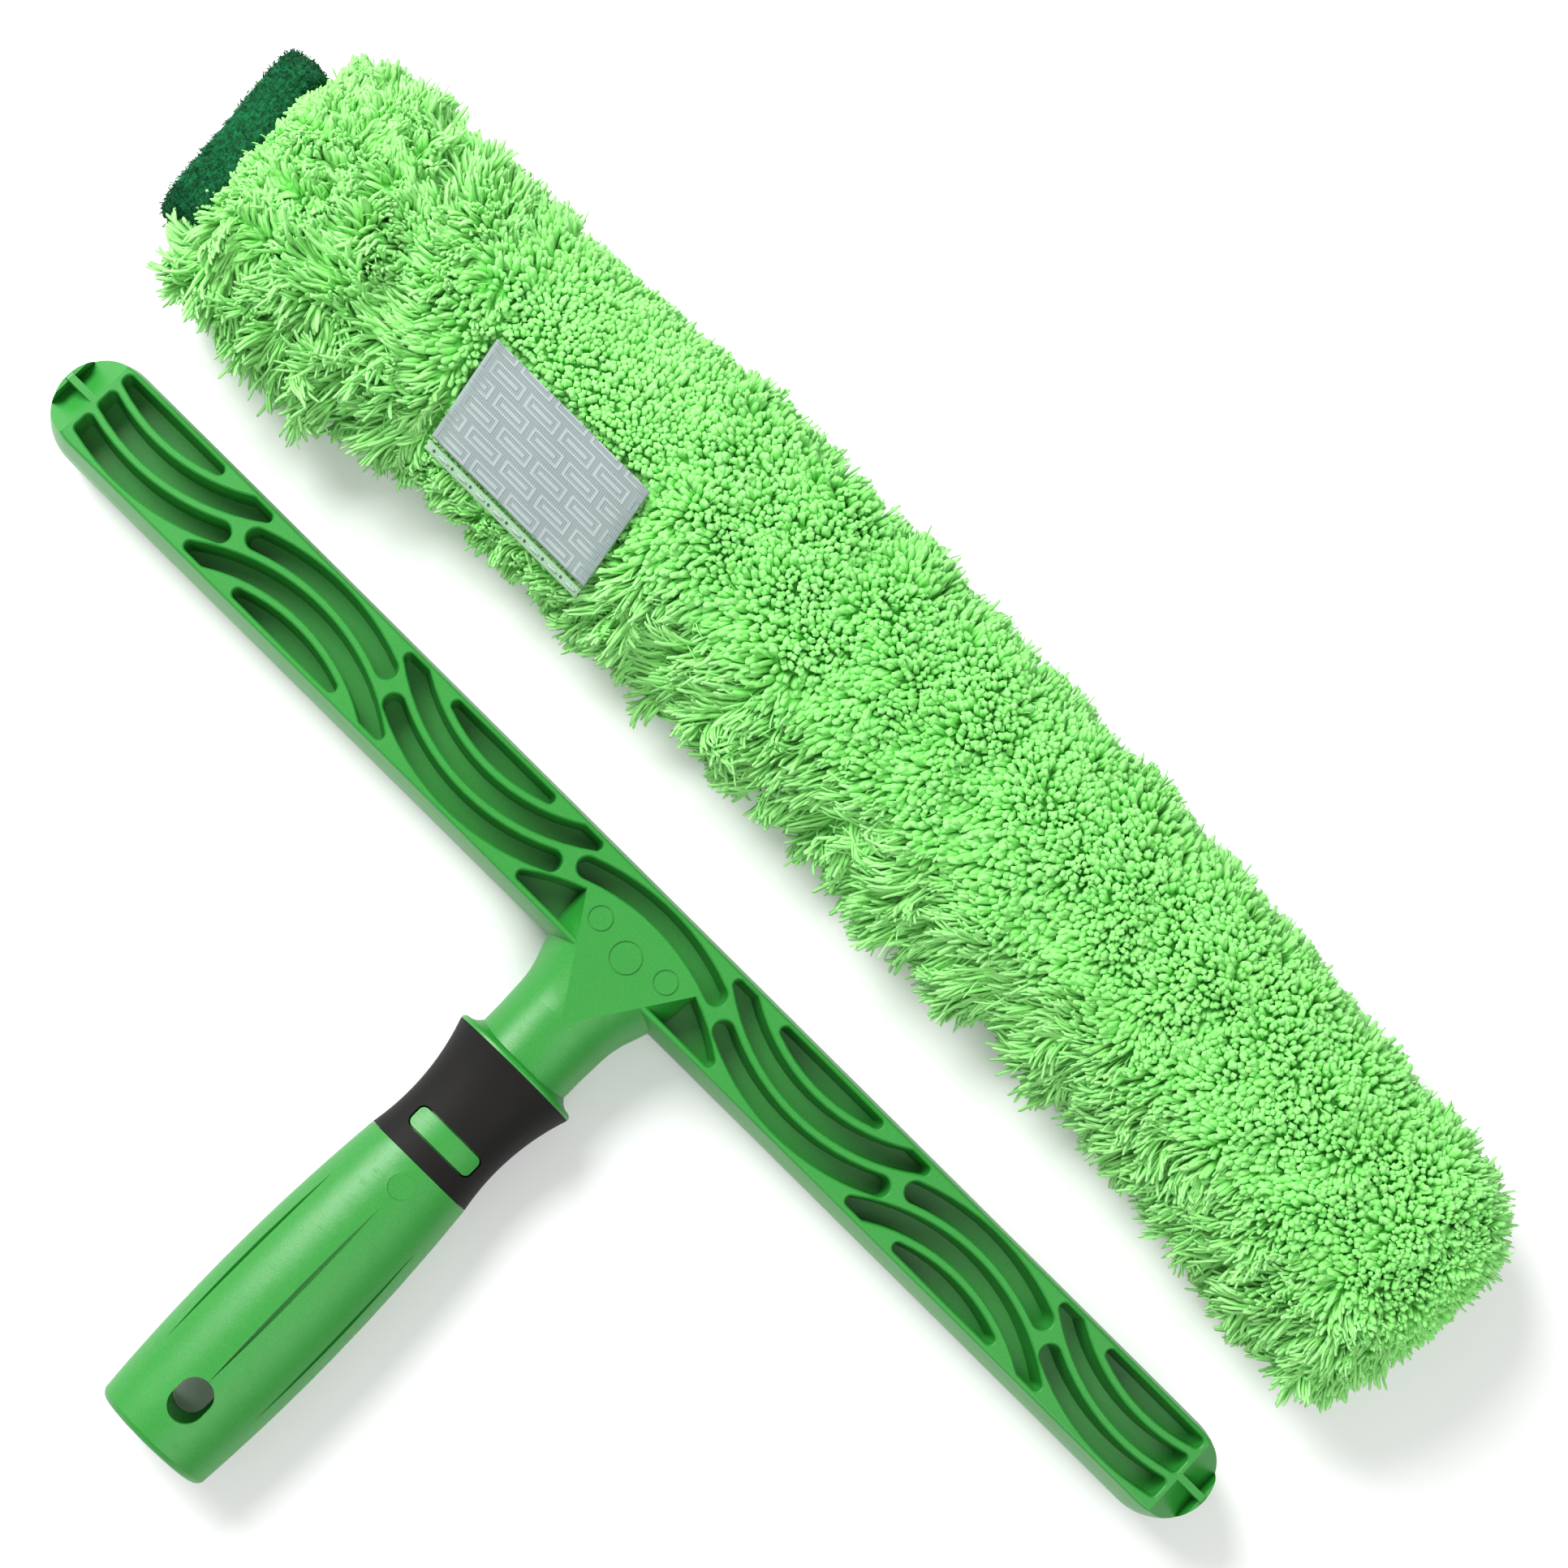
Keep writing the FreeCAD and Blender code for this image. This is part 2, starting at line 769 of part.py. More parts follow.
def tab_stitches():
    pitch = (tab_width - 2 * tape_margin) / stitch_count
    solids = []
    for i in range(stitch_count):
        x = tape_margin - tab_width / 2 + (i + 0.5) * pitch
        y = -(hem_reach + tab_fold_gap) / 2
        stitch = block(
            x - stitch_length / 2,
            x + stitch_length / 2,
            y - stitch_width / 2,
            y + stitch_width / 2,
            0,
            stitch_rise,
        )
        solids.append(tab_frame(stitch))
    return Part.makeCompound(solids)


os.makedirs("parts", exist_ok=True)

# The T-bar is made about its own middle plane; it lies on its flange or on the swell of its grip
swell = grip_arc().toShape().Curve
widest = max(flange_half, swell.Center.x + swell.Radius)
lie_on_table = point(0, 0, widest * handle_flat_share)
nodes = {
    "t_bar": t_bar().translated(lie_on_table),
    "soft_band": soft_band().translated(lie_on_table),
    "sleeve_backing": sleeve_backing(),
    "sleeve_pile": sleeve_pile(),
    "slit_binding": slit_binding(),
    "scrub_pad": scrub_pad(),
    "pad_stitches": pad_stitches(),
    "closure_tab": closure_tab(),
    "hook_tape": hook_tape(),
    "loop_tape": loop_tape(),
    "tab_hem": tab_hem(),
    "tab_stitches": tab_stitches(),
}

# The origin is on the table, under the middle of the whole layout
whole = Part.makeCompound(list(nodes.values())).optimalBoundingBox(False)
home = point(-whole.Center.x, -whole.Center.y)
for name, shape in nodes.items():
    shape.translated(home).exportStep(f"parts/{name}.step")
    print(name, len(shape.Solids), "solids", round(shape.Volume), "mm3", shape.isValid())
print("home", home.x, home.y, "box", whole)
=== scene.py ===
import math

import bpy
import numpy as np
from mathutils import Matrix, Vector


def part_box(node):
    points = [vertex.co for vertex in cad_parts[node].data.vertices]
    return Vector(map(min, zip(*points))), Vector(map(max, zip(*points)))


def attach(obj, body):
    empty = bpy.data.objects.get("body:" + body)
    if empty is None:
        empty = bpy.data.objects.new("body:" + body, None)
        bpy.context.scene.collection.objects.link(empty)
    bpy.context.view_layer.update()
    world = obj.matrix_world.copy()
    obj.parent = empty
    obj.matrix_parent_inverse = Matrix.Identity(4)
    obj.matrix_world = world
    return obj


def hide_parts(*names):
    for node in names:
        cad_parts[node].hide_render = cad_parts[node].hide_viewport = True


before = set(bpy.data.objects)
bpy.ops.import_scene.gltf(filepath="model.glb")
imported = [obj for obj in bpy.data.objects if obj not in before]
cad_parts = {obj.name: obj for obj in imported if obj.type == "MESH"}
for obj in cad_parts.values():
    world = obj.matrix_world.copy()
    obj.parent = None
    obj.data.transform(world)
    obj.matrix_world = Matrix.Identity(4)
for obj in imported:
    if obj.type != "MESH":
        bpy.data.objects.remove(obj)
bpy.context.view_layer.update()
scene = bpy.context.scene
print("stage: frame loaded")

# Lengths are in millimetres about the middle of the bar; toRow moves them into the row frame, in metres
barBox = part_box("t_bar")
barHalfWidth = 12.2
home = np.array([(barBox[0].x + barBox[1].x) * 500, barBox[1].y * 1000 - barHalfWidth, 0.0])


def toRow(points):
    return (np.asarray(points, float) + home) / 1000


def unit(v):
    return v / np.maximum(np.linalg.norm(v, axis=-1, keepdims=True), 1e-9)


def smooth(low, high, x):
    # 0 at low, 1 at high and an S-shaped rise between them
    t = np.clip((x - low) / (high - low), 0, 1)
    return t * t * (3 - 2 * t)


def drift(points, size, seed):
    # Smooth random field: a sum of cosine waves of about the given wavelength, in all directions
    rng = np.random.default_rng(seed)
    wave = unit(rng.normal(size=(9, 3))) * (2 * math.pi / (size * rng.uniform(0.7, 1.6, (9, 1))))
    phase = rng.uniform(0, 2 * math.pi, 9)
    return np.cos(points @ wave.T + phase).sum(-1) / 3


# Camera, set as the photograph was taken: from above the bar, with the bar running down to the right

def turned(forward, upward, roll):
    # The picture's right and up directions, turned about the view by the roll
    right = unit(np.cross(forward, upward))
    above = np.cross(right, forward)
    side = math.cos(roll) * right + math.sin(roll) * above
    rise = math.cos(roll) * above - math.sin(roll) * right
    return side, rise


view = {"eye": (-27.6, -60.72, 733.7), "aim": (-1.715, 48.44, 13.4), "up": (-0.7041, 0.7101, 0.0),
        "roll": -0.0056, "lens": 75.29, "sensor": 36, "pixels": 1932}
eye = np.array(view["eye"])
ahead = unit(np.array(view["aim"]) - eye)
side, rise = turned(ahead, np.array(view["up"]), view["roll"])
camera = bpy.data.objects.new("camera", bpy.data.cameras.new("camera"))
scene.collection.objects.link(camera)
camera.data.lens = view["lens"]
camera.data.sensor_width = view["sensor"]
camera.data.dof.use_dof = False
place = np.eye(4)
place[:3, 0], place[:3, 1], place[:3, 2], place[:3, 3] = side, rise, -ahead, toRow(eye)
camera.matrix_world = Matrix(place.tolist())
scene.camera = camera
scene.render.resolution_x = scene.render.resolution_y = view["pixels"]
scene.view_settings.view_transform = "Standard"


# Node materials: a value stands for a socket and takes the usual operators

class Value:
    def __init__(self, paint, socket):
        self.paint, self.socket = paint, socket

    def join(self, operation, first, second):
        return self.paint.add("Math", put={0: first, 1: second}, operation=operation)

    def __add__(self, other):
        return self.join("ADD", self, other)

    def __radd__(self, other):
        return self.join("ADD", other, self)

    def __sub__(self, other):
        return self.join("SUBTRACT", self, other)

    def __rsub__(self, other):
        return self.join("SUBTRACT", other, self)

    def __mul__(self, other):
        return self.join("MULTIPLY", self, other)

    def __rmul__(self, other):
        return self.join("MULTIPLY", other, self)

    def __truediv__(self, other):
        return self.join("DIVIDE", self, other)


class Paint:
    def __init__(self, name, **fixed):
        self.material = bpy.data.materials.new(name)
        self.material.use_nodes = True
        self.tree = self.material.node_tree
        self.shader = self.tree.nodes["Principled BSDF"]
        for socket, value in fixed.items():
            self.shader.inputs[socket.replace("_", " ")].default_value = value

    def add(self, kind, out=0, put=None, **settings):
        node = self.tree.nodes.new("ShaderNode" + kind)
        for key, value in settings.items():
            setattr(node, key, value)
        for key, value in (put or {}).items():
            self.feed(node.inputs[key], value)
        return Value(self, node.outputs[out])

    def feed(self, socket, value):
        if isinstance(value, Value):
            self.tree.links.new(value.socket, socket)
        else:
            socket.default_value = value

    def set(self, socket, value):
        self.feed(self.shader.inputs[socket], value)

    def where(self):
        return self.add("TexCoord", out="Object")

    def uv(self):
        split = self.add("SeparateXYZ", put={0: self.add("UVMap", uv_map="flat")}).socket.node
        return Value(self, split.outputs[0]), Value(self, split.outputs[1])

    def stretch(self, vector, scale, turn):
        return self.add("Mapping", put={"Vector": vector, "Scale": scale, "Rotation": turn})

    def noise(self, vector, scale, detail=2.0, rough=0.5):
        put = {"Vector": vector, "Scale": scale, "Detail": detail, "Roughness": rough}
        return self.add("TexNoise", put=put)

    def cells(self, vector, scale):
        return self.add("TexVoronoi", put={"Vector": vector, "Scale": scale})

    def alone(self, operation, value):
        return self.add("Math", put={0: value}, operation=operation)

    def span(self, value, low, high, start=0.0, end=1.0):
        put = {0: value, 1: low, 2: high, 3: start, 4: end}
        return self.add("MapRange", put=put, interpolation_type="SMOOTHSTEP")

    def mix(self, factor, first, second):
        return self.add("Mix", out=2, put={0: factor, 6: first, 7: second}, data_type="RGBA")

    def bump(self, height, distance, strength):
        return self.add("Bump", put={"Height": height, "Distance": distance, "Strength": strength})


def colour(red, green, blue):
    return (red, green, blue, 1.0)


# Pieces

def gridFaces(rows, columns, closed=False):
    # Four-sided faces of a grid of points; closed joins its last column to its first
    row = np.arange(rows - 1)[:, None] * columns
    column = np.arange(columns if closed else columns - 1)[None, :]
    after = (column + 1) % columns
    corners = [row + column, row + after, row + columns + after, row + columns + column]
    return np.stack(corners, -1).reshape(-1, 4)


def piece(name, points, faces, paint, body, flat=None):
    # One mesh from whole arrays of points and faces, which rides on a body; flat holds a map, point by point
    mesh = bpy.data.meshes.new(name)
    points = toRow(np.asarray(points).reshape(-1, 3))
    corners = np.concatenate([f.ravel() for f in faces])
    sizes = np.concatenate([np.full(len(f), f.shape[1]) for f in faces])
    mesh.vertices.add(len(points))
    mesh.vertices.foreach_set("co", points.ravel())
    mesh.loops.add(len(corners))
    mesh.loops.foreach_set("vertex_index", corners.astype(np.int32))
    mesh.polygons.add(len(sizes))
    mesh.polygons.foreach_set("loop_start", (np.cumsum(sizes) - sizes).astype(np.int32))
    mesh.polygons.foreach_set("use_smooth", np.ones(len(sizes), bool))
    if flat is not None:
        layer = mesh.uv_layers.new(name="flat")
        layer.data.foreach_set("uv", np.asarray(flat).reshape(-1, 2)[corners].ravel())
    mesh.update(calc_edges=True)
    mesh.materials.append(paint.material)
    thing = bpy.data.objects.new(name, mesh)
    scene.collection.objects.link(thing)
    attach(thing, body)
    return thing


strandSteps = np.array([0.0, 0.25, 0.5, 0.75, 0.95])
shadeCount = 200


def strands(name, grow, paint, body, sides):
    # Tapered tubes: the spine leaves the root along its way and turns towards its curl along an arc, the turn
    # being twice the curl, with a sideways wave on it. The flat map holds the strand's shade as a whole
    # number plus the place round the strand, and the place along it
    root, way = grow["root"], unit(grow["way"])
    count, rings = len(root), len(strandSteps)
    t = np.append(strandSteps, 1.0)
    curl = grow["curl"] - np.sum(grow["curl"] * way, 1, keepdims=True) * way
    side, turn = unit(curl), 2 * np.linalg.norm(curl, axis=1)[:, None] * t
    across = np.cross(way, side)
    wave = grow["wave"][:, None] * np.sin(grow["phase"][:, None] + 5.0 * t) * t
    reach = grow["length"][:, None] * t / np.maximum(turn, 1e-6)
    spine = (root[:, None] + (reach * np.sin(turn))[..., None] * way[:, None]
             + (reach * (1 - np.cos(turn)))[..., None] * side[:, None] + wave[..., None] * across[:, None])
    spine[:, 0] = root
    other = np.cos(turn)[..., None] * side[:, None] - np.sin(turn)[..., None] * way[:, None]
    angle = grow["phase"][:, None] + np.arange(sides) * (2 * math.pi / sides)
    ring = (np.cos(angle)[:, None, :, None] * across[:, None, None]
            + np.sin(angle)[:, None, :, None] * other[:, :-1, None])
    width = grow["radius"][:, None] * grow["widths"]
    tube = spine[:, :-1, None] + width[..., None, None] * ring
    points = np.concatenate([tube.reshape(count, -1, 3), spine[:, -1:]], 1)
    points[..., 2] = np.maximum(points[..., 2], grow["floor"])
    size, last, corner = rings * sides + 1, (rings - 1) * sides, np.arange(sides)
    quads = gridFaces(rings, sides, True)
    tips = np.stack([last + corner, last + (corner + 1) % sides, np.full(sides, size - 1)], -1)
    jump = np.arange(count)[:, None, None] * size
    faces = [(quads[None] + jump).reshape(-1, 4), (tips[None] + jump).reshape(-1, 3)]
    along = np.append(np.repeat(strandSteps, sides), 1.0)
    around = np.append(np.tile(corner / sides, rings), 0.5)
    shade = np.floor(grow["tone"] * shadeCount)[:, None]
    flat = np.stack([shade + around, np.broadcast_to(along, (count, size))], -1)
    return piece(name, points, faces, paint, body, flat)


# Finishes

def greenPlastic():
    # Moulded plastic: fine spark texture, faint flow marks and a few rubbed streaks
    p = Paint("greenPlastic", Roughness=0.4, IOR=1.47, Specular_IOR_Level=0.55)
    at = p.where()
    cloud = p.noise(at, 28, 3)
    grain = p.noise(at, 2600, 2, 0.6)
    rub = p.noise(p.stretch(at, (30, 900, 900), (0, 0, 0.3)), 1, 3, 0.6)
    base = p.mix(cloud, colour(0.012, 0.200, 0.018), colour(0.017, 0.243, 0.024))
    p.set("Base Color", p.mix(p.span(grain, 0.35, 0.7, 0, 0.5), base, colour(0.028, 0.285, 0.036)))
    p.set("Roughness", 0.37 + 0.1 * cloud + 0.1 * p.span(rub, 0.55, 0.75))
    p.set("Normal", p.bump(grain, 0.00005, 0.55))
    return p


def softRubber():
    # Matt overmould: fine pebble grain with a little dust in it
    p = Paint("softRubber", Roughness=0.6, IOR=1.5, Specular_IOR_Level=0.17)
    at = p.where()
    grain = p.noise(at, 3200, 3, 0.65)
    cloud = p.noise(at, 60, 3)
    base = p.mix(cloud, colour(0.0045, 0.0040, 0.0036), colour(0.008, 0.0072, 0.0066))
    p.set("Base Color", p.mix(p.span(grain, 0.62, 0.8, 0, 0.4), base, colour(0.022, 0.020, 0.018)))
    p.set("Roughness", 0.52 + 0.2 * grain)
    p.set("Normal", p.bump(grain, 0.00008, 0.6))
    return p


def pilePaint(name, shadedRoot, middle, pale):
    # Split microfibre: painted shade darkens it towards the root, where shade falls between the tufts, and it
    # pales towards the tip; each tuft has its own tone, with fine fibre lines
    p = Paint(name, Roughness=0.78, Sheen_Weight=0.25, Sheen_Roughness=0.45, Specular_IOR_Level=0.25)
    p.set("Sheen Tint", colour(0.75, 1.0, 0.6))
    place, along = p.uv()
    tone = p.alone("FLOOR", place) / shadeCount
    at = p.where()
    patch = p.noise(at, 45, 3)
    # Painted shade: the colour goes from the tip colour through the middle one down to the shaded root colour
    # at the root
    low = p.mix(p.span(along, 0.0, 0.45), colour(*shadedRoot), colour(*middle))
    high = p.mix(p.span(along, 0.3, 1.0), low, colour(*pale))
    worn = p.mix(p.span(tone, 0.6, 1.0, 0, 0.4), high, colour(0.315, 0.68, 0.20))
    fresh = p.mix(p.span(tone, 0.35, 0.0, 0, 0.35), worn, colour(0.11, 0.60, 0.057))
    base = p.mix(p.span(patch, 0.45, 0.75, 0, 0.3), fresh, colour(0.165, 0.58, 0.09))
    fibre = p.noise(p.add("CombineXYZ", put={0: place * 11, 1: along * 1.6}), 1, 2, 0.6)
    p.set("Base Color", p.mix(p.span(fibre, 0.52, 0.3, 0, 0.5), base, colour(*shadedRoot)))
    p.set("Roughness", 0.7 + 0.2 * fibre)
    p.set("Normal", p.bump(fibre, 0.0004, 0.6))
    return p


def groundClothShaded():
    # Foundation of the pile, seen only between the tufts: tight knit rows, in a deeper green that is painted
    # shade for the gaps between the tufts
    p = Paint("groundClothShaded", Roughness=0.9)
    at = p.where()
    loop = p.cells(at, 900)
    # Painted shade: the knit's two greens are darker than the tufts, standing for the shade between them
    p.set("Base Color", p.mix(p.span(loop, 0.1, 0.6), colour(0.16, 0.58, 0.105), colour(0.08, 0.42, 0.05)))
    p.set("Normal", p.bump(loop, 0.0003, 0.8))
    return p


def knit():
    # Plain knit: columns of loops along the tube, each loop a short bump
    p = Paint("knit", Roughness=0.85, Sheen_Weight=0.2)
    at = p.where()
    along = p.add("TexWave", put={"Vector": at, "Scale": 260.0, "Distortion": 1.2, "Detail": 1.0},
                  wave_type="BANDS", bands_direction="X")
    over = p.add("TexWave", put={"Vector": at, "Scale": 340.0, "Distortion": 1.2, "Detail": 1.0},
                 wave_type="BANDS", bands_direction="Y")
    loop = along * over
    p.set("Base Color", p.mix(loop, colour(0.10, 0.36, 0.07), colour(0.34, 0.70, 0.26)))
    p.set("Normal", p.bump(loop, 0.0003, 0.7))
    return p


def fleece():
    # Coarse bonded web: dark green fibres in all directions, with pale specks of grit
    p = Paint("fleece", Roughness=0.8, Specular_IOR_Level=0.15)
    at = p.where()
    web = p.noise(p.stretch(at, (1, 1, 2.2), (0.4, 0.7, 0.2)), 900, 4, 0.75)
    cross = p.noise(p.stretch(at, (2.4, 1, 1), (0.9, 0.2, 1.1)), 800, 4, 0.75)
    grit = p.cells(at, 1300)
    base = p.mix(p.span(web * cross, 0.16, 0.36), colour(0.002, 0.036, 0.012), colour(0.005, 0.155, 0.048))
    p.set("Base Color", p.mix(p.span(grit, 0.18, 0.05, 0, 0.6), base, colour(0.03, 0.30, 0.10)))
    p.set("Normal", p.bump(web * cross, 0.0012, 0.8))
    return p


ribbonForm = {"weft": 0.42, "warp": 0.55, "row": 4.6, "brick": 10.4, "shift": 4.7, "blur": 0.2,
              "stitchPitch": 5.45, "seamStart": -21.8, "seamLevel": -1.5, "holeReach": 1.45}


def threads(p, u, v):
    # Ribs across the ribbon and threads along it, each a sine wave
    weft = p.span(p.alone("SINE", v * (2 * math.pi / ribbonForm["weft"])), -1, 1)
    warp = p.span(p.alone("SINE", u * (2 * math.pi / ribbonForm["warp"])), -1, 1)
    return weft, warp


def wovenRibbon():
    # Weft ribs crossed by warp threads, with rows of plain bricks floated in a paler thread: each brick is an
    # outline round a bar, and the bricks fade out towards the ribbon's ends
    p = Paint("wovenRibbon", Roughness=0.5, Sheen_Weight=0.25, Specular_IOR_Level=0.5)
    u, v = p.uv()
    weft, warp = threads(p, u, v)
    row = v / ribbonForm["row"]
    shift = p.alone("FLOOR", row) * ribbonForm["shift"]
    inRow = p.alone("FRACT", row) * ribbonForm["row"]
    inBrick = p.alone("FRACT", (u + shift + 200.0) / ribbonForm["brick"]) * ribbonForm["brick"]

    def within(low, high, start, end):
        blur = ribbonForm["blur"]
        tall = p.span(inRow, low, low + blur) * p.span(inRow, high, high - blur)
        return tall * p.span(inBrick, start, start + blur) * p.span(inBrick, end, end - blur)

    outline = within(0.5, 4.1, 0.6, 9.8)
    hollow = within(1.1, 3.5, 1.3, 9.1)
    bar = within(1.75, 2.85, 2.2, 8.2)
    motif = outline * (1 - hollow * (1 - bar))
    across = p.alone("ABSOLUTE", u)
    edge, inside = p.span(across, 21.9, 22.6), p.span(across, 21.4, 19.2)
    thread = p.noise(p.where(), 1500, 2)
    base = p.mix(weft, colour(0.165, 0.215, 0.215), colour(0.235, 0.295, 0.29))
    base = p.mix(warp * 0.3, base, colour(0.29, 0.355, 0.345))
    base = p.mix(motif * inside * 0.55, base, colour(0.41, 0.485, 0.475))
    p.set("Base Color", p.mix(edge * 0.15, base, colour(0.50, 0.58, 0.57)))
    p.set("Roughness", 0.55 - 0.15 * motif + 0.1 * thread)
    p.set("Normal", p.bump(weft * 0.6 + warp * 0.4 + motif * 1.2 + thread * 0.3, 0.00012, 0.8))
    return p


def hemCloth():
    # The ribbon's sewn edge: pale ribs with two needle holes to every pitch of the stitches, each dented and
    # painted dark as painted shade in the hole
    p = Paint("hemCloth", Roughness=0.65, Sheen_Weight=0.2)
    u, v = p.uv()
    weft, warp = threads(p, u, v)
    pitch = ribbonForm["stitchPitch"]
    near = p.alone("FRACT", (u - ribbonForm["seamStart"]) / pitch) * pitch
    reach = p.alone("ABSOLUTE", near - pitch / 2) - ribbonForm["holeReach"]
    level = v - ribbonForm["seamLevel"]
    holeDentAndShade = p.span(level * level + reach * reach, 0.2, 0.05)
    base = p.mix(weft * 0.5 + warp * 0.3, colour(0.20, 0.36, 0.21), colour(0.33, 0.51, 0.34))
    # Painted shade: the needle holes are near black
    p.set("Base Color", p.mix(holeDentAndShade, base, colour(0.03, 0.06, 0.045)))
    p.set("Normal", p.bump(weft * 0.6 + warp * 0.4 - holeDentAndShade * 2, 0.00012, 0.8))
    return p


def twist(name, dark, pale):
    # Twisted thread: slanting plies along its length
    p = Paint(name, Roughness=0.6, Sheen_Weight=0.2)
    at = p.where()
    slant = p.stretch(at, (1, 1, 1), (0.2, 0.5, 0.8))
    ply = p.add("TexWave", put={"Vector": slant, "Scale": 900.0, "Distortion": 0.6}, wave_type="BANDS")
    p.set("Base Color", p.mix(ply, dark, pale))
    p.set("Normal", p.bump(ply, 0.0001, 0.7))
    return p


def darkTape():
    # Fastening tape: close woven ground in near black, a little dusty
    p = Paint("darkTape", Roughness=0.7, Specular_IOR_Level=0.4)
    at = p.where()
    weave = p.cells(at, 1600)
    dust = p.noise(at, 240, 3)
    base = p.mix(p.span(weave, 0.1, 0.6), colour(0.035, 0.042, 0.042), colour(0.010, 0.012, 0.012))
    p.set("Base Color", p.mix(p.span(dust, 0.55, 0.8, 0, 0.35), base, colour(0.10, 0.13, 0.11)))
    p.set("Normal", p.bump(weave, 0.00025, 0.8))
    return p


plastic, rubber = greenPlastic(), softRubber()
# Shaded root, middle and tip colours of the pile: the root colour is painted shade between the tufts
tuftPaint = pilePaint("pileTuft", (0.19, 0.65, 0.125), (0.24, 0.79, 0.155), (0.325, 0.86, 0.245))
fluffPaint = pilePaint("pileFluff", (0.24, 0.75, 0.155), (0.32, 0.86, 0.215), (0.41, 0.93, 0.31))
shadedGroundPaint = groundClothShaded()
knitPaint, fleecePaint = knit(), fleece()
ribbonPaint, hemPaint, tapePaint = wovenRibbon(), hemCloth(), darkTape()
threadPaint = twist("paleThread", colour(0.25, 0.36, 0.28), colour(0.46, 0.58, 0.49))
for node, finish in (("t_bar", plastic), ("soft_band", rubber)):
    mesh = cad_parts[node].data
    mesh.materials.clear()
    mesh.materials.append(finish.material)
print("stage: finishes")


# Washer sleeve

sleeve = {"midY": 73.2, "bow": 1600.0, "axis": 20.0, "half": 35.5, "rise": 24.0, "pile": 3.9,
          "loose": 2.0, "underTab": 6.0, "nose": 186.0, "noseRound": 24.0, "noseArc": 44.0, "end": -180.5,
          "noseWide": 0.55, "noseTall": 0.8, "padEnd": -178.8, "padRound": 7.0, "padArc": 16.0,
          "padShare": 0.76, "slitY": 56.2, "slitFrom": -166.0, "slitTo": 16.25, "rest": 2.6}
tabForm = {"x": -85.8, "y": 44.2, "z": 35.0, "slope": math.radians(18), "half": 23.0, "reach": 25.3,
           "lean": 4.2, "fold": 0.4, "hem": 2.6, "tapeFrom": 17.1, "tapeTo": 24.1, "tapeHalf": 21.8,
           "belly": 0.7, "bellyHalf": 26.0, "wave": 0.12}
hills = {"pitch": 21.0, "shares": np.array([1.0, 0.945, 0.985, 0.93, 0.99, 0.94, 0.97]),
         "turns": np.array([-2.5, -1.571, -0.873, 0.0, 0.873, 1.571, 2.5]), "level": 36.5,
         "places": (-180, -143, -107, -70, -52, -16, 5, 39, 80, 131, 186),
         "front": (1.04, 1.08, 1.0, 1.05, 0.95, 1.07, 0.98, 1.05, 0.94, 0.95, 1.0)}


def hillHeight(run, turn):
    # Rows of hills and hollows, out of step with each other: shares in turn at every half pitch along a row,
    # with S-shaped rises between them both along the sleeve and from row to row, and level by the tab
    count = round(2 * (sleeve["nose"] - sleeve["end"]) / hills["pitch"])
    step = (sleeve["nose"] - sleeve["end"]) / count
    station = np.arange(count + 1)
    far = np.abs(station * step + sleeve["end"] - tabForm["x"]) >= hills["level"]
    rows = [np.where(far, hills["shares"][(station + 3 * row) % 7], 1.0) for row in range(5)]
    table = np.stack([np.ones(count + 1)] + rows + [np.ones(count + 1)])
    along = np.clip((run - sleeve["end"]) / step, 0, count - 0.001)
    first = along.astype(int)
    row = np.clip(np.searchsorted(hills["turns"], turn) - 1, 0, 5)
    rise = smooth(0, 1, along - first)
    over = smooth(hills["turns"][row], hills["turns"][row + 1], turn)
    low = table[row, first] * (1 - rise) + table[row, first + 1] * rise
    high = table[row + 1, first] * (1 - rise) + table[row + 1, first + 1] * rise
    return low * (1 - over) + high * over


def bowed(along, out, z):
    # A place along the sleeve's bow, out from its middle line and up from the table
    angle, radius = along / sleeve["bow"], sleeve["bow"] + out
    return np.stack(np.broadcast_arrays(radius * np.sin(angle),
                                        sleeve["midY"] - sleeve["bow"] + radius * np.cos(angle), z), -1)


noseStart = sleeve["nose"] - sleeve["noseRound"]
padStart = sleeve["padEnd"] + sleeve["padRound"]
noseArc, padArc = sleeve["noseArc"], sleeve["padArc"]


def sleeveSkin(run, turn, inset):
    # An oval with hills along the bow, closed by a round nose at one end and drawn in to the pad at the other
    end = np.clip((run - noseStart) / noseArc, 0, 1) * math.pi / 2
    tail = np.clip((padStart - run) / padArc, 0, 1) * math.pi / 2
    along = np.where(run > noseStart, noseStart + (sleeve["noseRound"] - inset) * np.sin(end), run)
    along = np.where(run < padStart, padStart - (sleeve["padRound"] - 0.3 * inset) * np.sin(tail), along)
    draw = sleeve["padShare"] + (1 - sleeve["padShare"]) * np.cos(tail)
    hill = hillHeight(run, turn)
    half = sleeve["half"] * np.where(turn < 0, np.interp(run, hills["places"], hills["front"]), 1.0)
    out = np.cos(end) ** sleeve["noseWide"] * draw * (half * hill - inset) * np.sin(turn)
    tall = np.cos(end) ** sleeve["noseTall"] * draw * (sleeve["rise"] * hill - inset)
    z = sleeve["axis"] + tall * np.cos(turn)
    return bowed(along, out, np.maximum(z, sleeve["rest"]))


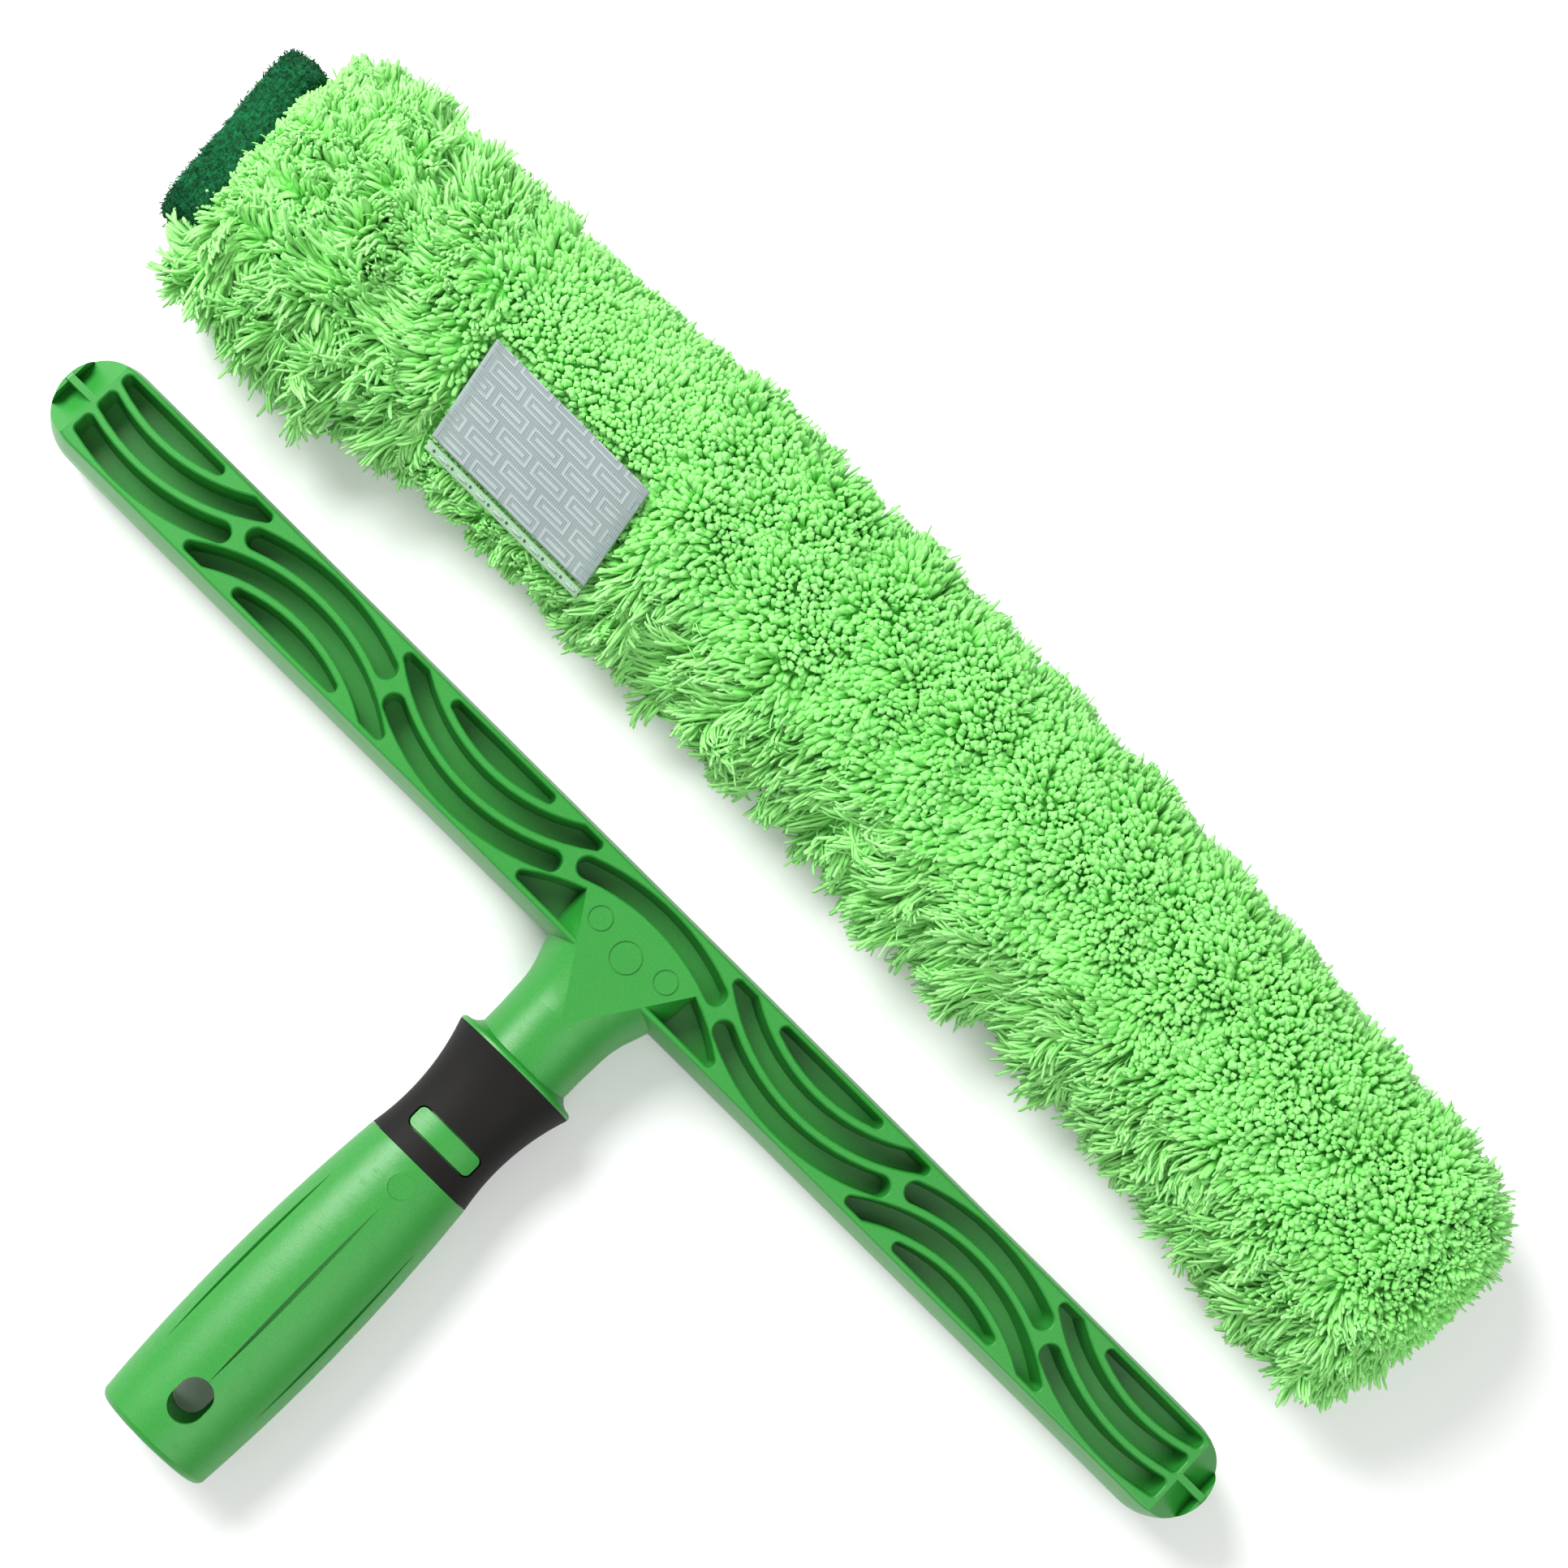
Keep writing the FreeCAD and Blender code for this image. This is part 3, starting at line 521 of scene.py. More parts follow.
def groundSkin(run, turn):
    # The ground of the pile: under the upright tufts, deeper under the longer fluff of the front and deepest
    # under the tab
    onFront = smooth(-0.45, -0.95, turn) * smooth(-2.8, -2.2, turn)
    loose = sleeve["loose"] * onFront * (1 - smooth(125, 160, run))
    aside = np.abs(run - tabForm["x"] + tabForm["lean"] / 2)
    tabZone = smooth(tabForm["half"] + 6, tabForm["half"] + 2, aside)
    tabZone = tabZone * smooth(-1.6, -1.2, turn) * smooth(0.4, 0.1, turn)
    return sleeveSkin(run, turn, (sleeve["pile"] + loose) * (1 - tabZone) + sleeve["underTab"] * tabZone)


def skinFrame(run, turn):
    # Point, outward normal and the two tangents of the ground, by small steps along it
    step = 0.02
    alongway = unit(groundSkin(run + 0.5, turn) - groundSkin(run - 0.5, turn))
    overway = unit(groundSkin(run, turn + step) - groundSkin(run, turn - step))
    return groundSkin(run, turn), unit(np.cross(alongway, overway)), alongway, overway


def tabLocal(points):
    # Place across the tab, up its slope and off its face
    across = points[:, 0] - tabForm["x"]
    y, z = points[:, 1] - tabForm["y"], points[:, 2] - tabForm["z"]
    up = y * math.cos(tabForm["slope"]) + z * math.sin(tabForm["slope"])
    off = z * math.cos(tabForm["slope"]) - y * math.sin(tabForm["slope"])
    return across + tabForm["lean"] * up / tabForm["reach"], up, off


def tabPoint(across, up, off):
    # The point that has these three measures by tabLocal
    across, up, off = np.broadcast_arrays(across, up, off)
    return np.stack([tabForm["x"] + across - tabForm["lean"] * up / tabForm["reach"],
                     tabForm["y"] + up * math.cos(tabForm["slope"]) - off * math.sin(tabForm["slope"]),
                     tabForm["z"] + up * math.sin(tabForm["slope"]) + off * math.cos(tabForm["slope"])], -1)


turnTable = np.linspace(-math.pi, math.pi, 1441)
tableSkin = groundSkin(np.zeros(1441), turnTable)
girthTable = np.append(0, np.cumsum(np.linalg.norm(np.diff(tableSkin, axis=0), axis=1)))


def scatter(spacing, turnFrom, turnTo, runFrom, runTo, rng):
    # Staggered rows round the sleeve, each point moved a little at random and thinned towards the nose
    first, last = np.interp([turnFrom, turnTo], turnTable, girthTable)
    runs = np.arange(runFrom, runTo, spacing * 0.87)
    girths = np.arange(first, last, spacing)
    run, girth = np.meshgrid(runs, girths, indexing="ij")
    girth = girth + spacing * 0.5 * (np.arange(len(runs)) % 2)[:, None]
    run = (run + rng.uniform(-0.32, 0.32, run.shape) * spacing).ravel()
    girth = (girth + rng.uniform(-0.32, 0.32, girth.shape) * spacing).ravel()
    end = np.clip((run - noseStart) / noseArc, 0, 1) * math.pi / 2
    keep = rng.uniform(size=len(run)) < np.maximum(np.cos(end) ** 0.6, 0.06)
    return run[keep], np.interp(girth[keep], girthTable, turnTable), girth[keep]


# Widths along a strand, from root to tip; x, y and reach of each whorl; lengths, radii and strengths of
# the pile
stub = np.array([0.8, 0.95, 1.0, 0.97, 0.72])
wisp = np.array([0.85, 1.0, 1.0, 1.0, 0.86])
leaf = np.array([0.75, 1.0, 1.0, 0.8, 0.45])
whorls = ((-152.0, 60.0, 14.0), (-168.0, 46.0, 12.0), (-122.0, 84.0, 15.0), (-108.0, 102.0, 12.0))
pile = {"crest": 4.3, "front": 5.6, "padEnd": 2.7, "nose": 1.2, "back": 1.8, "bySlit": 1.5, "inTab": 1.5,
        "behindTab": 2.6, "mostTuft": 6.4, "thick": 0.88, "fluff": 0.47, "wispShare": 0.28, "clump": 4.0,
        "clumps": 997, "last": -180.5, "stray": 0.14, "lean": 0.58, "comb": 0.6, "whorl": 0.95,
        "wildLean": 0.34, "wildBend": 0.36, "leastRise": 0.32, "sunk": 0.8, "floor": 0.15, "shade": 0.3,
        "paintedShadeAt": 5.0, "paintedShadeReach": 45.0, "noseLightTone": 0.47}


def clumpsOf(run, girth, rng):
    # Strands in one cell of a jittered grid belong together: steps along and round the sleeve to the middle
    # of the clump, and the clump's own lean, bend, length and shade, drawn from one table
    size, many = pile["clump"], pile["clumps"]
    row, column = np.floor(run / size).astype(int), np.floor(girth / size).astype(int)
    table = {"shift": rng.uniform(-0.35, 0.35, (many, 2)), "lean": rng.normal(size=(many, 3)),
             "bend": rng.normal(size=(many, 3)), "length": rng.uniform(0.8, 1.2, many),
             "tone": rng.uniform(size=many)}
    own = {key: value[(row * 131 + column * 17) % many] for key, value in table.items()}
    own["step"] = (np.stack([row, column], -1) + 0.5 + own["shift"]) * size - np.stack([run, girth], -1)
    return own


def pileLumps(points):
    # Small lumps in the ground of the pile, on top of its hills
    return 0.3 * drift(points, 17, 1) + 0.45 * drift(points, 8, 2)


def whorlPull(root):
    # Level and outwards from the middle of each whorl, strongest at about 0.7 of its reach
    pull = np.zeros(root.shape)
    for x, y, reach in whorls:
        ray = (root - [x, y, 0]) * [1, 1, 0]
        gap = np.linalg.norm(ray, axis=1) / reach
        pull = pull + (gap * np.exp(-gap ** 2))[:, None] * unit(ray)
    return pull


def tabZones(root):
    # Whether the tab covers a root, how near it is to the hem, to the tab's ends and to its far edge, and
    # whether the loop tape lies there
    across, up, off = tabLocal(root)
    aside, high = np.abs(across), off > -14
    half, reach, hem = tabForm["half"], tabForm["reach"], tabForm["hem"]
    inTab = (aside < half + 1.2) & (up > -hem - 1.0) & (up < reach + 1.0) & high
    byHem = (aside < half + 1.2) * smooth(-hem - 9.0, -hem - 3.0, up)
    byEnds = smooth(half + 7.0, half + 3.0, aside) * (np.abs(up) < reach + 6)
    behind = (aside < half + 1) * smooth(reach + 7, reach + 2, up) * (up > reach) * high
    onTape = (aside < tabForm["tapeHalf"] + 0.6) & high
    onTape &= (up > tabForm["tapeFrom"] - 0.6) & (up < tabForm["tapeTo"] + 0.6)
    return inTab, byHem, byEnds, behind, onTape


def growPile(kind, spacing, turnFrom, turnTo, runFrom, runTo, seed):
    # Each strand's way is the skin's normal with a slow sway and lean, combed towards the bar and the pad on
    # the front, laid outwards on the back, fanned round the whorls, leaned over the slit from both of its
    # lips and set round the pad. Tufts stand on the crest, fluff takes their place on the front and by the
    # pad, where it gathers in clumps, and wisps are single loose yarns among both
    rng = np.random.default_rng(seed)
    run, turn, girth = scatter(spacing, turnFrom, turnTo, runFrom, runTo, rng)
    root, normal, alongway, overway = skinFrame(run, turn)
    count = len(root)
    own = clumpsOf(run, girth, rng)
    fromSlit = root[:, 1] - sleeve["slitY"]
    inSlit = (root[:, 0] > sleeve["slitFrom"]) & (root[:, 0] < sleeve["slitTo"]) & (np.abs(turn) < 1.2)
    nearSlit = inSlit * smooth(8.0, 3.0, np.abs(fromSlit))
    front = smooth(-0.25, -0.95, turn) * smooth(-2.9, -2.3, turn)
    back = smooth(0.75, 1.35, turn)
    padward = smooth(-105, -150, run)
    noseward = smooth(150, 180, run)
    under = smooth(1.75, 2.1, np.abs(turn))
    atEnd = smooth(-150, -168, run)
    byPad = padward * (1 - front)
    soft = np.clip(front + 0.85 * padward * smooth(1.6, 1.0, turn) + 0.3 * back + 0.25 * noseward, 0, 1)
    root = root + normal * (pileLumps(root) * (1 - under))[:, None]
    sway = np.stack([drift(root, 10, 3), drift(root, 10, 4), drift(root, 10, 5)], -1)
    curlway = np.stack([drift(root, 15, 6), drift(root, 15, 7), drift(root, 15, 8)], -1)
    wide = drift(root, 34, 9)
    way = normal + (0.2 + 0.25 * padward)[:, None] * sway + pile["stray"] * rng.normal(size=(count, 3))
    lean = (pile["lean"] + 0.2 * wide) * (1 - back) * (1 - padward)
    way = way - lean[:, None] * (0.75 * overway + 0.55 * alongway)
    comb = -0.75 * overway - ((0.55 + 0.3 * wide) * (1 - atEnd))[:, None] * alongway
    way = way * (1 - 0.45 * front)[:, None] + pile["comb"] * comb * front[:, None]
    way = way + (0.45 * back)[:, None] * overway
    way = way - ((0.6 * padward - 0.35 * atEnd) * (1 - front))[:, None] * alongway
    way = way + (pile["whorl"] * (np.abs(turn) < 1.5) * (1 - nearSlit))[:, None] * whorlPull(root)
    way[:, 1] -= np.where(fromSlit > 0, 0.6, 0.15) * nearSlit
    wild = soft * (1 - 0.5 * smooth(10, 50, run)) * (1 - 0.4 * byPad)
    way = way + (pile["wildLean"] * wild)[:, None] * own["lean"]
    fromAxis = (root - bowed(run, 0.0, sleeve["axis"])) * [0.15, 1, 1]
    spread = unit(fromAxis) - 0.35 * alongway + 0.25 * sway
    rim = smooth(padStart + 2, padStart - 4, run) * (1 - 0.7 * front)
    way = unit(way * (1 - rim)[:, None] + spread * rim[:, None])
    length = pile["crest"] + pile["front"] * front
    length = length + pile["padEnd"] * padward * (1 - 0.9 * atEnd) * (1 - 0.5 * front)
    length = length + pile["nose"] * noseward + pile["back"] * back + pile["bySlit"] * nearSlit
    length = length * (1 + 0.13 * rng.normal(size=count).clip(-2, 2)) * (1 + 0.08 * wide) * (1 - 0.2 * rim)
    length = length * (1 + soft * (own["length"] - 1)) * (1 - 0.15 * front * smooth(125, 175, run))
    radius = pile["thick"] * rng.uniform(0.8, 1.18, count)
    curl = (0.12 + 0.2 * soft)[:, None] * curlway + 0.08 * rng.normal(size=(count, 3))
    curl = curl - (0.22 * front)[:, None] * normal + (pile["wildBend"] * wild)[:, None] * own["bend"]
    inTab, byHem, byEnds, behind, onTape = tabZones(root)
    way = unit(way + (0.9 * byHem)[:, None] * (normal + 0.5 * overway))
    length = length * (1 - 0.3 * byHem) * (1 - 0.35 * byEnds) + pile["behindTab"] * behind
    length = np.where(inTab, pile["inTab"], length)
    way = np.where(inTab[:, None], normal, way - (0.25 * behind)[:, None] * overway)
    place = padStart - sleeve["padRound"] * np.sin(np.clip((padStart - run) / padArc, 0, 1) * math.pi / 2)
    spare = np.maximum(np.where(run < padStart, place, run) - pile["last"], 0) / length
    way = way + np.maximum(-np.sum(way * alongway, 1) - spare, 0)[:, None] * alongway
    way = way + np.maximum(pile["leastRise"] + 0.16 * byPad - np.sum(way * normal, 1), 0)[:, None] * normal
    curl = curl + np.maximum(-0.25 - np.sum(curl * normal, 1), 0)[:, None] * normal
    out = root[:, 1] - sleeve["midY"]
    padFace = (run < padStart - 4) & (np.abs(out + 9) < 22.5) & (root[:, 2] < 32) & (root[:, 2] > 2)
    keep = ~(inSlit & (np.abs(fromSlit) < 0.9)) & ~padFace & ~onTape
    tone, chance = rng.uniform(size=count), rng.uniform(size=count)
    # Painted shade: strands about the middle of the sleeve take a darker tone
    shade = pile["shade"] * np.exp(-((run - pile["paintedShadeAt"]) / pile["paintedShadeReach"]) ** 2)
    tone = np.clip(tone - shade, 0, 0.999)
    # Painted light: at the nose the tone is drawn towards a plain bright one, where the lamps light the pile
    # less
    tone = tone + 0.7 * noseward * (pile["noseLightTone"] - tone)
    if kind == "tuft":
        keep &= (chance < 1.2 - 1.9 * soft) | (under > 0.5)
        length, radius = np.minimum(length, pile["mostTuft"]), radius * (1 - 0.35 * soft)
    elif kind == "fluff":
        keep &= chance < 1.8 * soft - 0.1
        radius = pile["fluff"] * rng.uniform(0.75, 1.25, count) * (1 + 0.5 * byPad + 0.12 * front)
        # The fluff keeps three tenths of the strand's tone, with its painted shade and painted light
        tone = np.clip(0.7 * own["tone"] + 0.3 * tone, 0, 0.999)
        gather = np.where(inTab, 0.0, 0.5 / length)[:, None]
        curl = curl + gather * (own["step"][:, :1] * alongway + own["step"][:, 1:] * overway)
    else:
        keep &= ~inTab
        way = unit(way + 0.25 * rng.normal(size=(count, 3)))
        length, radius = (1.05 - 0.25 * front) * length, pile["wispShare"] * radius
    slim = wisp + (leaf - wisp) * (0.35 + 0.65 * byPad)[:, None]
    grow = {"root": root - pile["sunk"] * normal, "way": way, "curl": curl, "length": length,
            "radius": radius, "wave": 0.6 * soft * rng.uniform(0.3, 1.2, count),
            "phase": rng.uniform(0, 2 * math.pi, count), "tone": tone,
            "widths": stub * (1 - soft)[:, None] + slim * soft[:, None]}
    return {key: value[keep] for key, value in grow.items()}, run[keep]


def plantPile():
    # The strands of each kind are grown zone by zone and then shared out along the sleeve, so no piece grows
    # too large. A zone is the spacing, the turns and runs that it lies between, and its seed
    padEnd = sleeve["padEnd"]
    start, end = padEnd - 9, 206
    kinds = (("tuft", "pileTufts", 4, 5000, tuftPaint,
              ((1.3, -1.3, 1.2, start, end, 11), (1.6, 1.2, 1.95, start, end, 13),
               (3.0, 1.95, 3.13, padEnd, 200, 14), (3.0, -3.13, -2.0, padEnd, 200, 15))),
             ("fluff", "pileFluff", 3, 6500, fluffPaint, ((0.98, -2.05, 1.5, start, end, 12),)),
             ("wisp", "pileWisps", 3, 6500, fluffPaint, ((3.1, -2.0, 1.9, start, end, 16),)))
    for kind, name, sides, most, paint, zones in kinds:
        grown = [growPile(kind, *zone) for zone in zones]
        run = np.concatenate([g[1] for g in grown])
        whole = {key: np.concatenate([g[0][key] for g in grown]) for key in grown[0][0]}
        order = np.argsort(run, kind="stable")
        shares = np.array_split(order, math.ceil(len(order) / most))
        for number, share in enumerate(shares, 1):
            grow = {key: value[share] for key, value in whole.items()}
            grow["floor"] = pile["floor"]
            strands(f"{name}_{number}", grow, paint, "sleeve", sides)
        print("stage:", name, len(order), "strands in", len(shares), "pieces")


def slitTurn(run):
    # Where round the sleeve the straight slit lies, at a place along the bow
    half = sleeve["half"] * np.interp(run, hills["places"], hills["front"]) - sleeve["pile"]
    return np.arcsin(np.clip((sleeve["slitY"] - bowed(run, 0.0, 0.0)[..., 1]) / half, -0.8, 0.2))


def slitShell(name, outer, inner, paint, runs, lift):
    # A tube with wall: outer and inner skins joined along the slit's two lips, which touch where it is shut
    columns = 150
    turnOf = np.linspace(0, 1, columns)
    run = runs[:, None]
    x = groundSkin(runs, np.zeros(len(runs)))[:, 0]
    gap = 0.03 * smooth(sleeve["slitFrom"] - 2, sleeve["slitFrom"] + 3, x)
    gap = gap * smooth(sleeve["slitTo"] + 2, sleeve["slitTo"] - 3, x)
    turn = slitTurn(runs)[:, None] + gap[:, None] + (2 * math.pi - 2 * gap[:, None]) * turnOf
    skin = outer(run, turn)
    skin = skin + lift(skin)
    lining = inner(run, turn[:, ::-1])
    loop = np.concatenate([skin, lining], 1)
    rows, size = loop.shape[0], loop.shape[1]
    quads = gridFaces(rows, size, True)
    ends = []
    for row in (0, rows - 1):
        start = row * size
        a = start + np.arange(columns - 1)
        b = start + size - 1 - np.arange(columns - 1)
        cap = np.stack([a, a + 1, b - 1, b], -1)
        ends.append(cap if row == 0 else cap[:, ::-1])
    return piece(name, loop, [quads[:, ::-1]] + [e[:, ::-1] for e in ends], paint, "sleeve")


tubeForm = {"half": 22.8, "rise": 10.3, "end": 171.8, "innerHalf": 21.3, "innerRise": 8.8,
            "innerEnd": 170.5, "length": 352, "liningHalf": 23.1, "liningRise": 10.6, "liningEnd": 172.0}


def makeSleeveBody():
    # The lumpy ground of the pile with its lining, and the knitted tube inside it: an oval drawn in to a
    # rounded end at the nose and open at the pad
    def outer(run, turn):
        return groundSkin(*np.broadcast_arrays(run, (turn + math.pi) % (2 * math.pi) - math.pi))

    def oval(half, rise, start, end):
        def skin(run, turn):
            run, turn = np.broadcast_arrays(run, turn)
            share = (run - run.min()) / (run.max() - run.min())
            shut = np.clip(1 - ((share - 0.985) / 0.015).clip(0, 1) ** 2, 0.02, 1) ** 0.5
            return bowed(start + share * (end - start), half * np.sin(turn) * shut,
                         sleeve["axis"] + rise * np.cos(turn) * shut)
        return skin

    def lumps(points):
        flatPoints = points.reshape(-1, 3)
        height = pileLumps(flatPoints)
        away = unit((flatPoints - [0, sleeve["midY"], sleeve["axis"]]) * [0, 1, 1])
        high = smooth(3.0, 9.0, flatPoints[:, 2])
        return (away * (height * high * 0.6)[:, None]).reshape(points.shape)

    runs = np.concatenate([np.linspace(sleeve["padEnd"] - 9, 160, 190),
                           np.linspace(161.5, noseStart + noseArc - 0.6, 40)])
    lining = oval(tubeForm["liningHalf"], tubeForm["liningRise"], sleeve["end"], tubeForm["liningEnd"])
    body = slitShell("pileGround", outer, lining, shadedGroundPaint, runs, lumps)
    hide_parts("sleeve_pile")
    tubeRuns = np.linspace(0, 1, 200) * tubeForm["length"] + sleeve["end"]
    tubeOuter = oval(tubeForm["half"], tubeForm["rise"], sleeve["end"], tubeForm["end"])
    tubeInner = oval(tubeForm["innerHalf"], tubeForm["innerRise"], sleeve["end"], tubeForm["innerEnd"])
    tube = slitShell("backingTube", tubeOuter, tubeInner, knitPaint, tubeRuns,
                     lambda points: 0 * points)
    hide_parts("sleeve_backing")
    print("stage: sleeve body")
    return tube


def slab(name, middle, off, thick, paint, body, flat):
    # A thin closed sheet about a middle surface, thinned along a round curve to a quarter at its edges
    rows, columns = middle.shape[:2]
    row = np.minimum(np.arange(rows), np.arange(rows)[::-1])[:, None]
    column = np.minimum(np.arange(columns), np.arange(columns)[::-1])[None, :]
    inward = np.clip(np.minimum(row, column) / 3.0, 0, 1)
    half = thick / 2 * (0.25 + 0.75 * np.sqrt(1 - (1 - inward) ** 2))[..., None]
    points = np.concatenate([(middle + off * half).reshape(-1, 3), (middle - off * half).reshape(-1, 3)])
    face = gridFaces(rows, columns)
    rim = np.concatenate([np.arange(columns), columns * np.arange(2, rows + 1) - 1,
                          columns * (rows - 1) + np.arange(columns - 2, -1, -1),
                          columns * np.arange(rows - 2, 0, -1)])
    after, under = np.roll(rim, -1), rows * columns
    wall = np.stack([rim, rim + under, after + under, after], -1)
    uv = np.concatenate([flat.reshape(-1, 2)] * 2)
    return piece(name, points, [face, face[:, ::-1] + under, wall], paint, body, uv)


def tabCrown(across, up):
    # The tab bellies up a little between its ends, with slight waves from the pile under it
    share = np.clip(up / tabForm["reach"], 0, 1)
    belly = tabForm["belly"] * np.sin(math.pi * share) * (1 - (across / tabForm["bellyHalf"]) ** 2)
    return belly + tabForm["wave"] * np.sin(across * 0.33 + 4 * share)


tabOff = np.array([0.0, -math.sin(tabForm["slope"]), math.cos(tabForm["slope"])])


# How far the middle of each layer lies off the tab's slope, and its thickness
layers = {"tab": (-0.45, 0.8), "hook": (-1.35, 0.7), "loop": (-3.5, 0.8), "hem": (-0.55, 0.9)}


def ribbonStrip(name, half, rise, layer, grid, paint, body, crowned=True):
    # A strip on the tab's slope, from one height up it to another, crowned like the tab or flat
    across, up = np.meshgrid(np.linspace(-half, half, grid[0]), np.linspace(rise[0], rise[1], grid[1]))
    lift = tabCrown(across, up) if crowned else 0 * across
    off, thick = layers[layer]
    return slab(name, tabPoint(across, up, off + lift), tabOff, thick, paint, body,
                np.stack([across, up], -1))


def shortHairs(name, root, way, hair, paint, body):
    # Small hooks, loops or fibres set on a face, each bent its own way
    rng = np.random.default_rng(hair["seed"])
    count = len(root)
    bend = unit(rng.normal(size=(count, 3)))
    grow = {"root": root, "way": way + hair["spread"] * rng.normal(size=(count, 3)),
            "curl": hair["bend"] * bend, "length": hair["length"] * rng.uniform(0.7, 1.2, count),
            "radius": hair["radius"] * rng.uniform(0.8, 1.2, count), "wave": np.zeros(count),
            "phase": rng.uniform(0, 2 * math.pi, count), "tone": rng.uniform(size=count),
            "widths": np.tile(wisp, (count, 1)), "floor": 0.1}
    return strands(name, grow, paint, body, 4)


def sewn(name, root, way, curl, length):
    # A row of stitches: short round tubes that bow over the cloth and go into it at both ends
    count, none = len(root), np.zeros(len(root))
    grow = {"root": root, "way": np.tile(way, (count, 1)), "curl": np.tile(curl, (count, 1)),
            "length": np.full(count, length), "radius": np.full(count, stitch["radius"]), "wave": none,
            "phase": none, "tone": none, "widths": np.tile(stitch["widths"], (count, 1)), "floor": 0.0}
    return strands(name, grow, threadPaint, "sleeve", 10)


stitch = {"radius": 0.32, "widths": np.array([0.6, 0.95, 1.0, 0.95, 0.6])}
tapeHook = {"length": 0.55, "radius": 0.13, "seed": 21, "spread": 0.15, "bend": 0.55, "foot": -1.68,
            "across": 1.0, "up": 0.9}
tapeLoop = {"length": 0.5, "radius": 0.09, "seed": 23, "spread": 0.8, "bend": 0.7, "foot": -3.12,
            "half": 21.4, "count": 900}


def makeTab():
    # The ribbon over the slit, the hook tape under it, the loop tape on the sleeve, and the hem with its
    # stitches
    half, fold, tapeHalf = tabForm["half"], tabForm["fold"], tabForm["tapeHalf"]
    low, high = tape = (tabForm["tapeFrom"], tabForm["tapeTo"])
    tab = ribbonStrip("wovenTab", half, (fold, tabForm["reach"]), "tab", (90, 56),
                      ribbonPaint, "tab")
    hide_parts("closure_tab")
    hook = ribbonStrip("hookTape", tapeHalf, tape, "hook", (60, 16), tapePaint, "tab")
    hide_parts("hook_tape")
    loop = ribbonStrip("loopTape", tapeHalf, tape, "loop", (60, 16), tapePaint, "sleeve", False)
    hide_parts("loop_tape")
    hem = ribbonStrip("tabHem", half, (-tabForm["hem"], -fold), "hem", (90, 12),
                      hemPaint, "sleeve", False)
    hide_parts("tab_hem")
    across, up = np.meshgrid(np.arange(-21, 21.1, tapeHook["across"]),
                             np.arange(low + 0.6, high - 0.4, tapeHook["up"]))
    across, up = across.ravel(), up.ravel()
    below = tabPoint(across, up, tapeHook["foot"] + tabCrown(across, up))
    hooks = shortHairs("tapeHooks", below, np.broadcast_to(-tabOff, below.shape), tapeHook,
                       tapePaint, "tab")
    rng, count, loopHalf = np.random.default_rng(22), tapeLoop["count"], tapeLoop["half"]
    across, up = rng.uniform(-loopHalf, loopHalf, count), rng.uniform(low + 0.3, high - 0.3, count)
    above = tabPoint(across, up, tapeLoop["foot"])
    loops = shortHairs("tapeLoops", above, np.broadcast_to(tabOff, above.shape), tapeLoop,
                       tapePaint, "sleeve")
    start = np.arange(8) * ribbonForm["stitchPitch"] - 19.075
    seam = tabPoint(start, ribbonForm["seamLevel"], 0.02)
    stitches = sewn("tabStitches", seam, [1.0, 0, 0.12], [0, 0, -0.12], 2.9)
    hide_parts("tab_stitches")
    print("stage: tab")
    return [loop, loops, hem, stitches]


padForm = {"half": 23.0, "tall": 15.5, "thick": 7.6, "power": 4.6, "start": -180.6, "tuck": 2.0,
           "middle": 3.9, "stitches": 9, "stitchPitch": 3.75, "stitchRow": 12.0,
           "depth": np.array([0.2, 0.1, 0, 0, 0.5, 1.4, 2.6, 3.8, 5.0, 6.2,
                              7.0, 7.5, 7.6, 7.7, 7.8, 7.85, 7.9, 7.9, 7.9]),
           "inset": np.array([15.4, 8, 3, 1.0, 0.3, 0, 0, 0, 0, 0,
                              0.25, 0.8, 1.8, 3.5, 6, 8.5, 11, 13, 15.4])}
padFibre = {"length": 1.1, "radius": 0.11, "seed": 34, "spread": 0.7, "bend": 0.5, "count": 3600}


